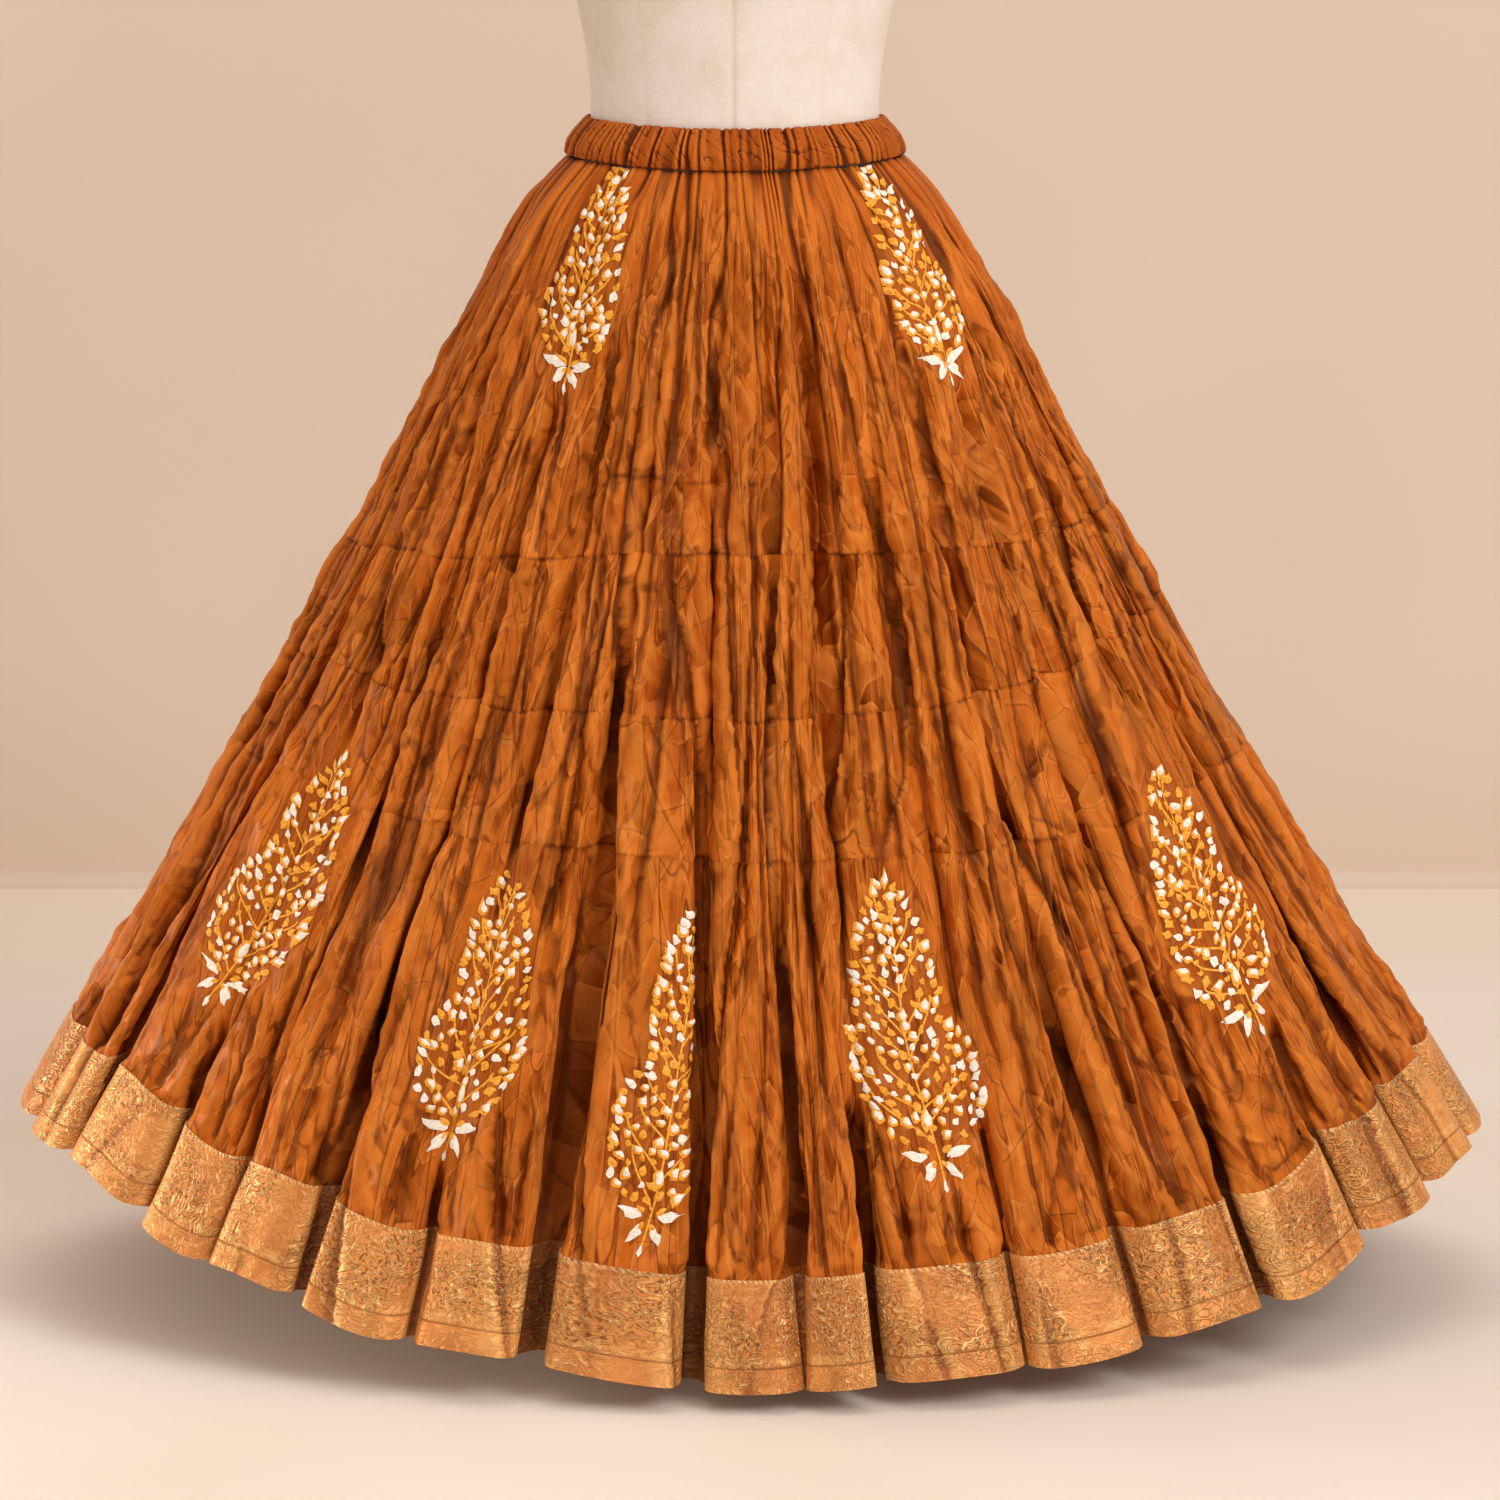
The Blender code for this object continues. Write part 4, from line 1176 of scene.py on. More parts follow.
def motif_leaves(motif, draw):
    """The leaves of one motif, in metres from its foot: (along, across, half length, half width, turn, kind)."""
    length = motif_length(motif)
    half = motif.half_width * MILLIMETRE
    leaves = []

    def place(along, across, long, wide, turn, kind, spacing=LEAF_SPACING):
        near = [math.hypot(along - leaf[0], across - leaf[1]) < spacing for leaf in leaves]
        if not any(near):
            leaves.append((along, across, long, wide, turn, kind))

    def drawn_kind():
        return draw.choice(list(LEAF_SHARES), p=list(LEAF_SHARES.values()))

    for side in (-1, 1):
        for along, across, long, wide, turn, kind, spacing in FOOT_LEAVES:
            place(along * length, side * across * half, long, wide, side * turn, kind, spacing)
    place(0.004 * length, 0.0, 0.0052, 0.0021, 0.0, "white", CLOSE_SPACING)
    place(0.215 * length, 0.0, 0.0092, 0.0038, 0.1, "outlined")
    for side in (-1, 1):
        reach = BODY_START + 0.03
        while reach < 0.97:
            edge = float(max(bud_width(reach, side, motif.shoulder) * half - 0.0035, 0.0))
            jitter = draw.normal(0, 0.0012)
            turn = side * draw.uniform(0.0, 1.1)
            long, wide = (draw.uniform(*sizes) for sizes in RIM_LEAF_SIZES)
            place(reach * length, side * edge + jitter, long, wide, turn, drawn_kind(), 0.0070)
            reach += draw.uniform(*RIM_SPACINGS) / length
    place(0.975 * length, 0.0, 0.0062, 0.0028, 0.1, "outlined", 0.005)
    for _ in range(SEED_LEAVES):
        share = draw.uniform(BODY_START + 0.02, 0.95)
        side = draw.choice([-1, 1])
        edge = float(bud_width(share, side, motif.shoulder) * half) - 0.004
        if edge <= 0:
            continue
        across = side * draw.uniform(0, edge)
        turn = across / half * 0.9 + draw.normal(0, 0.55)
        size = draw.uniform(0.72, 1.25)
        place(share * length, across, LEAF_HALF_LENGTH * size, LEAF_HALF_WIDTH * size, turn, drawn_kind())
    return leaves


def motif_stems(motif, draw):
    """Lines of (along, across) points in metres from the foot: the main stem and its side stems."""
    length = motif_length(motif)
    half = motif.half_width * MILLIMETRE
    steps = np.linspace(0, 1, 60)
    lines = [np.stack([steps * 0.90 * length, 0.0014 * np.sin(steps * 9)], -1)]
    steps = steps[::3]
    for start in np.linspace(0.14, 0.78, 9):
        for side in (-1, 1):
            begin = start + 0.02 * (side + 1) + draw.uniform(-0.02, 0.02)
            end = min(begin + draw.uniform(0.10, 0.20), 0.95)
            along = mix(begin, end, steps ** 0.8) * length
            reach = bud_width(end, side, motif.shoulder) * half * draw.uniform(0.5, 0.85)
            lines.append(np.stack([along, side * reach * np.sin(steps * math.pi / 2)], -1))
    return lines


STEM_HALF_WIDTH = 0.00085
STEM_EDGE, STEM_CROWN = 0.0003, 0.0006
LEAF_ROUGHNESS = 0.17  # how unevenly a leaf's rim is painted
WHITE_SHIFT = 0.0009  # how far an outlined leaf's white sits off the middle of its outline
MOTIF_DROPS = (0.0015, 0.908)  # what a motif has outside these drops lies along them


def make_motifs(materials):
    """Every motif's leaves and stems as one joined piece of thin raised paint."""
    local, lifts, owners, triangles, slots = [], [], [], [], []

    def paint(owner, points, lift, faces, slot):
        """Adds a patch of paint: points in metres (along, across), their lift off the cloth and its faces."""
        triangles.append(faces)
        slots.append(np.full(len(faces), slot))
        owners.append(np.full(len(points), owner))
        local.append(points)
        lifts.append(lift)

    for index, motif in enumerate(MOTIFS):
        draw = np.random.default_rng(MOTIF_SEED + index)
        for along, across, long, wide, turn, kind in motif_leaves(motif, draw):
            rough = np.clip(1 + LEAF_ROUGHNESS * draw.standard_normal(len(LEAF_POINTS) // 2), 0.6, 1.35)
            rough = np.concatenate([[1.0], rough, rough])
            for growth, widening, slot, level in LEAF_KINDS[kind]:
                shape = LEAF_POINTS * rough[:, None] * growth
                x = shape[:, 0] * long
                y = shape[:, 1] * wide * widening
                shift = WHITE_SHIFT * level
                points = np.stack([
                    along + shift + x * math.cos(turn) - y * math.sin(turn),
                    across + shift + x * math.sin(turn) + y * math.cos(turn),
                ], -1)
                paint(index, points, PAINT_RIM * (1 + level) + PAINT_CROWN * LEAF_RISE, LEAF_TRIANGLES, slot)
        for line in motif_stems(motif, draw):
            tangent = np.gradient(line, axis=0)
            normal = unit(np.stack([-tangent[:, 1], tangent[:, 0]], -1)) * STEM_HALF_WIDTH
            count = len(line)
            strips = []
            for strip in (0, count):
                a = np.arange(count - 1) + strip
                strips += [np.stack([a, a + 1, a + count + 1], -1), np.stack([a, a + count + 1, a + count], -1)]
            points = np.concatenate([line - normal, line, line + normal])
            paint(index, points, np.repeat([STEM_EDGE, STEM_CROWN, STEM_EDGE], count), np.concatenate(strips), MUSTARD)
    starts = np.cumsum([0] + [len(points) for points in local[:-1]])
    triangles = np.concatenate([faces + start for faces, start in zip(triangles, starts)])
    local = np.concatenate(local)
    owners = np.concatenate(owners)
    angle = np.zeros(len(local))
    drop = np.zeros(len(local))
    for index, motif in enumerate(MOTIFS):
        mine = owners == index
        centre, level = motif_centre(motif, local[mine, 0] / motif_length(motif))
        drop[mine] = np.clip(level, *MOTIF_DROPS)
        angle[mine] = centre + np.degrees(local[mine, 1] / ring_radius(centre, drop[mine]))
    points = on_cloth(angle, drop, np.concatenate(lifts))
    slots = np.concatenate(slots)
    shown = ~((owners == CUT_MOTIF) & (angle > CUT_ANGLE))[triangles].any(axis=1)
    triangles, slots = triangles[shown], slots[shown]
    # Up the cloth and round it to the right make a left-handed pair, seen from outside
    corners = local[triangles]
    one, other = corners[:, 1] - corners[:, 0], corners[:, 2] - corners[:, 0]
    turned = one[:, 0] * other[:, 1] - one[:, 1] * other[:, 0] > 0
    triangles[turned] = triangles[turned][:, ::-1]
    return make_mesh("printed_motifs", points, triangles, materials, slots=slots)


# ---------------------------------------------------------------- the dress form

TORSO = np.array([
    # height, half width, front, back
    (0.720, 0.142, 0.092, 0.108), (0.745, 0.156, 0.099, 0.119), (0.800, 0.161, 0.102, 0.122),
    (0.890, 0.146, 0.099, 0.108), (0.960, 0.1255, 0.0955, 0.0960), (1.003, 0.1200, 0.0946, 0.0946),
    (1.050, 0.1230, 0.0975, 0.0950), (1.100, 0.1318, 0.1040, 0.0960), (1.160, 0.1430, 0.1190, 0.0990),
    (1.210, 0.1520, 0.1270, 0.1020), (1.260, 0.1600, 0.1170, 0.1050), (1.315, 0.1710, 0.0930, 0.1010),
    (1.360, 0.1780, 0.0740, 0.0880), (1.388, 0.1660, 0.0640, 0.0740), (1.406, 0.1280, 0.0590, 0.0660),
    (1.422, 0.0860, 0.0550, 0.0600), (1.440, 0.0640, 0.0530, 0.0550), (1.462, 0.0560, 0.0520, 0.0530),
    (1.490, 0.0540, 0.0520, 0.0520),
])
TORSO_ROWS = 190
TORSO_COLUMNS = 216
FORM_SEAMS = (0, 36, 90, 145, 180, 215, 270, 324)  # degrees from the front centre
FORM_SEAM_WIDTH = 0.0011
FORM_SEAM_DEPTH = 0.0007
TORSO_BOTTOM_ROWS = 5


def make_torso(material):
    """The padded body under its linen cover, with the cover's upright seams."""
    heights = np.linspace(TORSO[-1, 0], TORSO[0, 0], TORSO_ROWS)[:, None]
    turn = FULL_TURN * np.arange(TORSO_COLUMNS)[None, :] / TORSO_COLUMNS + math.pi
    heights, turn = np.broadcast_arrays(heights, turn)
    half_width, front, back = (smooth_curve(TORSO[:, 0], TORSO[:, column], heights) for column in (1, 2, 3))
    facing_front = soft_step(-0.25, 0.25, np.cos(turn))
    depth = mix(back, front, facing_front)
    x = half_width * np.sin(turn)
    y = -depth * np.cos(turn)
    seam = np.zeros_like(x)
    for angle in FORM_SEAMS:
        off = (turn - math.radians(angle) + math.pi) % FULL_TURN - math.pi
        across = off * np.hypot(half_width * np.cos(turn), depth * np.sin(turn))
        seam += bell(across, FORM_SEAM_WIDTH)
    points = np.stack([x, y, heights], -1)
    normals = grid_normals(points)
    points = points - normals * (FORM_SEAM_DEPTH * seam)[..., None]
    floor = []
    for step in range(1, TORSO_BOTTOM_ROWS + 1):
        ring = points[-1:].copy()
        ring[..., :2] *= 1 - step / TORSO_BOTTOM_ROWS * 0.9
        floor.append(ring)
    points = np.concatenate([points, *floor])
    seam = np.concatenate([seam] + [seam[-1:] * 0] * TORSO_BOTTOM_ROWS)
    rows = len(points)
    return make_mesh(
        "form_linen_cover", points, tube_triangles(rows, TORSO_COLUMNS), [material],
        tube_uv(rows, TORSO_COLUMNS), {"crease": seam},
    )


def make_turned(name, outline, material, sides=96):
    """A turned piece: (radius, height) points from the top down, its corners eased."""
    radii, heights = [], []
    for (radius, height), (radius_after, height_after) in zip(outline, outline[1:]):
        for share in (0.06, 0.5, 0.94):
            radii.append(mix(radius, radius_after, share))
            heights.append(mix(height, height_after, share))
    radii = np.maximum(np.array([outline[0][0], *radii, outline[-1][0]]), 0.0004)[:, None]
    heights = np.array([outline[0][1], *heights, outline[-1][1]])[:, None]
    turn = FULL_TURN * np.arange(sides)[None, :] / sides
    points = np.stack(np.broadcast_arrays(radii * np.sin(turn), -radii * np.cos(turn), heights), -1)
    rows = len(points)
    return make_mesh(name, points, tube_triangles(rows, sides), [material], tube_uv(rows, sides))


# ---------------------------------------------------------------- materials


class Finish:
    """Builds one node material: each call adds a node, and its answer is the node's output socket. Its base
    colour is built up in layers, with over."""

    def __init__(self, name, base):
        self.base = base
        self.material = bpy.data.materials.new(name)
        self.material.use_nodes = True
        self.nodes = self.material.node_tree.nodes
        self.links = self.material.node_tree.links
        self.shader = self.nodes["Principled BSDF"]
        self.values = {}
        self.flat = self.add("ShaderNodeUVMap", {}, "UV", uv_map="OFBake")
        self.solid = self.add("ShaderNodeTexCoord", {}, "Object")

    def add(self, kind, inputs, output=0, **settings):
        node = self.nodes.new(kind)
        for key, value in settings.items():
            setattr(node, key, value)
        for key, value in inputs.items():
            self.put(node.inputs[key], value)
        return node.outputs[output]

    def put(self, socket, value):
        if isinstance(value, bpy.types.NodeSocket):
            self.links.new(value, socket)
        else:
            socket.default_value = value

    def done(self, **inputs):
        """The material, with its base colour and the shader's other inputs set."""
        for key, value in {"Base_Color": self.base, **inputs}.items():
            self.put(self.shader.inputs[key.replace("_", " ")], value)
        return self.material

    def scaled(self, vector, x, y, z=1.0):
        return self.add("ShaderNodeMapping", {"Vector": vector, "Scale": (x, y, z)})

    def noise(self, vector, scale, detail=2.0, roughness=0.5, distortion=0.0, kind="FBM"):
        inputs = {"Vector": vector, "Scale": scale, "Detail": detail, "Roughness": roughness, "Distortion": distortion}
        return self.add("ShaderNodeTexNoise", inputs, noise_type=kind, noise_dimensions=self.dimensions(vector))

    def dimensions(self, vector):
        """Textures on the flat map need two dimensions, and those in object space three."""
        node = vector.node
        while node.bl_idname in ("ShaderNodeMapping", "ShaderNodeVectorMath"):
            node = node.inputs[0].links[0].from_node
        return "2D" if node.bl_idname == "ShaderNodeUVMap" else "3D"

    def warped(self, vector, scale, reach):
        """The vector pushed about by soft noise, up to that reach either way."""
        inputs = {"Vector": vector, "Scale": scale, "Detail": 0.0}
        push = self.add("ShaderNodeTexNoise", inputs, "Color", noise_dimensions=self.dimensions(vector))
        push = self.vector("MULTIPLY", self.vector("SUBTRACT", push, (0.5, 0.5, 0.5)), (2 * reach, 2 * reach, 0.0))
        return self.vector("ADD", vector, push)

    def cells(self, vector, scale, feature="DISTANCE_TO_EDGE", output="Distance", randomness=1.0):
        inputs = {"Vector": vector, "Scale": scale, "Randomness": randomness}
        dimensions = self.dimensions(vector)
        return self.add("ShaderNodeTexVoronoi", inputs, output, feature=feature, voronoi_dimensions=dimensions)

    def value(self, name):
        """One of the mesh's own values."""
        if name not in self.values:
            self.values[name] = self.add("ShaderNodeAttribute", {}, "Fac", attribute_name=name)
        return self.values[name]

    def math(self, operation, first, second=0.0, third=0.0):
        return self.add("ShaderNodeMath", {0: first, 1: second, 2: third}, operation=operation)

    def ramp(self, value, low, high, to_low=0.0, to_high=1.0):
        inputs = {"Value": value, "From Min": low, "From Max": high, "To Min": to_low, "To Max": to_high}
        return self.add("ShaderNodeMapRange", inputs, interpolation_type="SMOOTHSTEP")

    def near(self, value, centre, inner, outer):
        """1 within inner of the centre, and 0 from outer on."""
        return self.ramp(self.math("ABSOLUTE", self.math("SUBTRACT", value, centre)), inner, outer, 1.0, 0.0)

    def times(self, *factors):
        product = factors[0]
        for factor in factors[1:]:
            product = self.math("MULTIPLY", product, factor)
        return product

    def over(self, tint, *shares):
        """Lays a colour over the base colour, by the product of the shares."""
        self.base = self.blend(self.times(*shares), self.base, tint)

    def painted_shading(self, layers):
        """Lays colours over the base where the mesh's own values run from start to end, up to a share: painted
        highlights and painted shade.
        """
        for name, start, end, most, tint in layers:
            self.over(tint, self.ramp(self.value(name), start, end, 0.0, most))

    def blend(self, share, first, second):
        node = self.nodes.new("ShaderNodeMix")
        node.data_type = "RGBA"
        self.put(node.inputs[0], share)
        self.put(node.inputs[6], first)
        self.put(node.inputs[7], second)
        return node.outputs[2]

    def bump(self, height, distance, strength=1.0, under=None):
        inputs = {"Height": height, "Distance": distance, "Strength": strength}
        if under is not None:
            inputs["Normal"] = under
        return self.add("ShaderNodeBump", inputs)

    def vector(self, operation, first, second=(0.0, 0.0, 0.0), **inputs):
        return self.add("ShaderNodeVectorMath", {0: first, 1: second, **inputs}, operation=operation)

    def leaned(self, sideways, down):
        """The surface's normal, leaned sideways and down the fall by those slopes."""
        normal = self.add("ShaderNodeNewGeometry", {}, "Normal")
        side = self.vector("NORMALIZE", self.vector("CROSS_PRODUCT", (0.0, 0.0, 1.0), normal))
        fall = self.vector("CROSS_PRODUCT", side, normal)
        moved = self.vector("ADD", normal, self.vector("SCALE", side, Scale=sideways))
        moved = self.vector("ADD", moved, self.vector("SCALE", fall, Scale=down))
        return self.vector("NORMALIZE", moved)

    def split(self, vector, axis):
        return self.add("ShaderNodeSeparateXYZ", {"Vector": vector}, axis)

    def join(self, x, y, z=0.0):
        return self.add("ShaderNodeCombineXYZ", {"X": x, "Y": y, "Z": z})


def colour(red, green, blue):
    """A colour given as it shows on a screen, 0 to 255, as the shader's linear values."""
    channels = [channel / 255 for channel in (red, green, blue)]
    return (*[c / 12.92 if c <= 0.04045 else ((c + 0.055) / 1.055) ** 2.4 for c in channels], 1.0)


RUST_LIGHT = colour(208, 111, 32)
RUST = colour(189, 92, 22)
RUST_DEEP = colour(150, 64, 12)
RUST_LINE_SHADE_PAINT = colour(112, 42, 8)
RUST_SHADE_PAINT = colour(78, 26, 5)
RUST_HIGHLIGHT_PAINT = colour(226, 136, 54)
GROUND_BROWN = colour(120, 48, 10)
CRUSHED_LENGTH = 0.46  # share of its length that the crushed cloth draws up to
# Facets to the metre, how far their corners stray, their lean, the half width in facets of the line of painted shade
# at their edges, how dark that painted shade is and how light the painted highlight beside it, and the patches of
# "patchiness" in which they show
FACETS = [
    (32.0, 0.0065, 1.20, 0.022, 0.74, 0.60, 0.30, 0.70),
    (82.0, 0.0036, 1.05, 0.044, 0.62, 0.48, 0.75, 0.25),
]
FACET_DOWN_SHARE = 0.7
# The thin creases: how far they slant, how closely they bend along the fall and lie across it, in which patches
# of "patchiness" they show, and how dark their painted shade is. The last set runs down the whole fall
SLANTED_CREASES = [
    (0.62, 0.55, 26.0, 0.30, 0.52, 0.62), (-0.50, 0.55, 34.0, 0.70, 0.45, 0.62), (0.06, 0.13, 44.0, -0.60, 0.40, 0.78),
]
# The lip beside each thin crease: how far its normal leans, and the share of its painted highlight
LIP_LEAN, LIP_PAINTED_HIGHLIGHT = 0.45, 0.36
# Painted highlights on the ridges and painted shade in the recesses and the creases, from the mesh's relief and its
# crease darkness
RUST_PAINTED_SHADING = [
    ("relief", 0.10, 0.95, 0.38, RUST_HIGHLIGHT_PAINT), ("relief", -0.08, -0.90, 0.54, RUST_SHADE_PAINT),
    ("crease", 0.15, 1.15, 0.88, RUST_SHADE_PAINT),
]


def crushed_cotton(name, width, length, place=0.0, crush=1.0, deep=0.0):
    """Crinkled rust cotton. width and length are the cut's, in metres, and place is where it lay in the
    crushed length. crush is the share of its fine creases, and deep how far its dye goes to the deeper tone."""
    f = Finish(name, RUST_LIGHT)
    along = f.vector("ADD", f.scaled(f.flat, width, length * CRUSHED_LENGTH), (place, place, 0.0))
    dyed, opened, patchiness, ground = (f.value(key) for key in ("tone", "open", "patchiness", "ground"))
    f.over(RUST, f.ramp(dyed, 0.25, 0.60))
    f.over(RUST_DEEP, f.ramp(dyed, 0.56, 0.86, 0.0, 0.70))
    fine = f.times(f.ramp(opened, 0.0, 1.0, 0.20, 1.0), crush)
    # Flat facets of the crushed cloth at two sizes, each leaned its own way and given painted shading that makes it a
    # little lighter or darker, with a thin line of painted shade and a painted highlight beside it between some of
    # them
    lean_side, lean_down = 0.0, 0.0
    for scale, warp, lean, shade_line_width, dark, light, low, high in FACETS:
        strayed = f.warped(along, scale * 0.8, warp)
        edge = f.cells(strayed, scale)
        facet = f.cells(strayed, scale, "F1", "Color")
        side, down, tone = (f.split(facet, axis) for axis in "XYZ")
        lean_side = f.math("ADD", f.times(f.math("SUBTRACT", side, 0.5), lean), lean_side)
        lean_down = f.math("MULTIPLY_ADD", f.math("SUBTRACT", down, 0.5), lean * FACET_DOWN_SHARE, lean_down)
        # Painted shading: each facet a little lighter or darker by its own random value
        f.over(RUST_LIGHT, f.ramp(tone, 0.50, 1.0, 0.0, 0.50), fine)
        f.over(RUST_DEEP, f.ramp(tone, 0.45, 0.0, 0.0, 0.42), fine)
        shown = f.times(f.ramp(patchiness, low, high), fine)
        # A painted highlight on the edges of only the facets that lean to the right, towards the key light
        rim = f.times(f.ramp(edge, shade_line_width, shade_line_width * 4.0, 1.0, 0.0), f.ramp(side, 0.45, 0.75))
        f.over(RUST_HIGHLIGHT_PAINT, rim, light, shown)
        f.over(RUST_LINE_SHADE_PAINT, f.ramp(edge, 0.0, shade_line_width, 1.0, 0.0), dark, shown)
    # Thin creases run aslant across the facets: a line of painted shade, with a lip along one side that leans and has
    # a painted highlight
    across, down = (f.split(along, axis) for axis in "XY")
    for shear, stretch, scale, low, high, dark in SLANTED_CREASES:
        slanted = f.join(f.math("MULTIPLY_ADD", down, shear, across), f.times(down, stretch))
        wave = f.math("SUBTRACT", f.noise(slanted, scale, 1.0, 0.6, 0.5), 0.5)
        shown = f.times(f.ramp(patchiness, low, high), fine)
        lip = f.times(f.ramp(wave, 0.008, 0.020), f.ramp(wave, 0.070, 0.025), shown)
        lean_side = f.math("MULTIPLY_ADD", lip, LIP_LEAN, lean_side)
        f.over(RUST_HIGHLIGHT_PAINT, lip, LIP_PAINTED_HIGHLIGHT)
        f.over(RUST_LINE_SHADE_PAINT, f.ramp(f.math("ABSOLUTE", wave), 0.004, 0.016, 1.0, 0.0), dark, shown)
    even = f.times(f.ramp(ground, 0.0, 1.0, 1.0, 0.45), fine)
    normal = f.leaned(f.times(lean_side, even), f.times(lean_down, even))
    slubs = f.noise(f.scaled(f.flat, width, length * 0.10), 420.0, 1.0, 0.6)
    f.over(RUST_LIGHT, f.ramp(slubs, 0.35, 0.75, 0.0, 0.06), opened)
    if deep:
        f.over(RUST_DEEP, deep)
    f.painted_shading(RUST_PAINTED_SHADING)
    f.over(GROUND_BROWN, ground, f.times(f.ramp(slubs, 0.30, 0.60, 0.65, 1.0), 0.38))
    return f.done(
        Roughness=f.ramp(dyed, 0.3, 0.7, 0.44, 0.56), Normal=f.bump(slubs, 0.00016, 1.0, normal),
        Specular_IOR_Level=0.24, Specular_Tint=colour(255, 214, 160),
    )


COPPER = colour(234, 154, 78)
COPPER_LIGHT = colour(250, 194, 116)
COPPER_GLINTS_AND_TEETH = colour(255, 224, 164)
COPPER_DEEP = colour(208, 126, 56)
COPPER_DARK = colour(104, 46, 12)
# Painted highlights on the border's ridges, and painted shade in its hollows, recesses and creases
COPPER_PAINTED_SHADING = [
    ("relief", 0.05, 0.80, 0.50, COPPER_LIGHT), ("relief", -0.05, -0.80, 0.48, COPPER_DARK),
    ("crease", 0.15, 1.15, 0.70, COPPER_DARK),
]
BORDER_MAP = (4 / 35, 33 / 35)  # where the border's outer face starts and ends on its flat map
TOOTH_PITCH = 0.0052
TOOTH_HEIGHT = 0.0042
PLAIN_STRIP_TOP = 0.225  # shares of the border's height, from the hem up
RIDGE_HALF_WIDTH = 0.010
SCROLLS_ABOVE_RIDGE = 0.055


def brocade(name, width, length):
    """Copper-gold zari border: small scrolls woven all over, a ridge, a plainer strip and a toothed top edge, with
    painted glints on the threads, painted shade between them and in the recesses, and painted highlights on the
    ridges.
    """
    f = Finish(name, COPPER)
    cloth = f.scaled(f.flat, width, length)
    low, high = BORDER_MAP
    rise = f.math("DIVIDE", f.math("SUBTRACT", f.split(f.flat, "Y"), low), high - low)
    # Small curling threads in relief, all over, closer in some places than in others
    stretched = f.scaled(f.flat, width * 0.62, length)
    strayed = f.warped(stretched, 80.0, 0.010)
    threads = f.ramp(f.cells(strayed, 130.0), 0.03, 0.17, 1.0, 0.0)
    curls = f.near(f.noise(stretched, 100.0, 1.0, 0.5, 2.2), 0.5, 0.0, 0.042)
    dense = f.ramp(f.value("patchiness"), 0.15, 0.65, 0.22, 1.0)
    pattern_top = f.ramp(rise, PLAIN_STRIP_TOP, PLAIN_STRIP_TOP + 0.02)
    woven = f.times(f.math("MAXIMUM", f.times(threads, 0.65), curls), dense, f.ramp(pattern_top, 0.0, 1.0, 0.70, 1.0))
    flecks = f.noise(cloth, 300.0, 1.0)
    ridge = f.near(rise, PLAIN_STRIP_TOP, 0.0, RIDGE_HALF_WIDTH)
    # A row of small scrolls runs along the ridge
    row_place = f.near(rise, PLAIN_STRIP_TOP + SCROLLS_ABOVE_RIDGE, 0.02, 0.05)
    row_scrolls = f.times(f.ramp(f.cells(strayed, 95.0), 0.10, 0.26, 1.0, 0.0), row_place)
    slanted = f.math("MULTIPLY_ADD", f.split(cloth, "Y"), 0.9, f.split(cloth, "X"))
    tooth = f.near(f.math("FRACT", f.math("DIVIDE", slanted, TOOTH_PITCH)), 0.5, 0.14, 0.26)
    tooth = f.times(tooth, f.ramp(flecks, 0.34, 0.50, 0.25, 1.0))
    edge = f.ramp(rise, 1 - TOOTH_HEIGHT / length, 1 - TOOTH_HEIGHT / length + 0.02)
    # Painted shade in the hollows between the threads, where the flecks' noise is low
    pits = f.times(f.ramp(woven, 0.0, 0.20, 1.0, 0.0), f.ramp(flecks, 0.47, 0.36, 0.0, 0.80))
    f.over(COPPER_DEEP, f.ramp(f.value("tone"), 0.3, 0.8))
    f.over(COPPER_DARK, pits, dense, pattern_top)
    # The threads show lighter: partly their own gold, partly a painted highlight
    f.over(COPPER_LIGHT, woven, 0.58)
    # Painted glints on the threads
    f.over(COPPER_GLINTS_AND_TEETH, woven, f.ramp(flecks, 0.54, 0.66, 0.0, 0.85))
    f.over(COPPER_LIGHT, row_scrolls, 0.45)
    f.over(COPPER_DARK, ridge, 0.24, f.ramp(flecks, 0.40, 0.60))
    f.over(COPPER_GLINTS_AND_TEETH, edge, tooth, 0.75)
    f.painted_shading(COPPER_PAINTED_SHADING)
    return f.done(
        Roughness=f.ramp(woven, 0.0, 1.0, 0.44, 0.30), Metallic=f.ramp(woven, 0.0, 1.0, 0.20, 0.50),
        Normal=f.bump(f.math("ADD", woven, f.times(ridge, 0.8)), 0.0026, 1.0),
        Specular_IOR_Level=0.5, Anisotropic=0.25,
    )


def motif_paint(name, light, deep):
    """Thick printed paint, a little cracked and uneven."""
    f = Finish(name, light)
    speckle = f.noise(f.solid, 420.0, 3.0, 0.6)
    strokes = f.noise(f.solid, 1100.0, 2.0, 0.6)
    f.over(deep, f.ramp(speckle, 0.42, 0.66))
    roughness = f.ramp(speckle, 0.3, 0.7, 0.42, 0.6)
    return f.done(Roughness=roughness, Normal=f.bump(strokes, 0.0003, 0.8), Specular_IOR_Level=0.35)


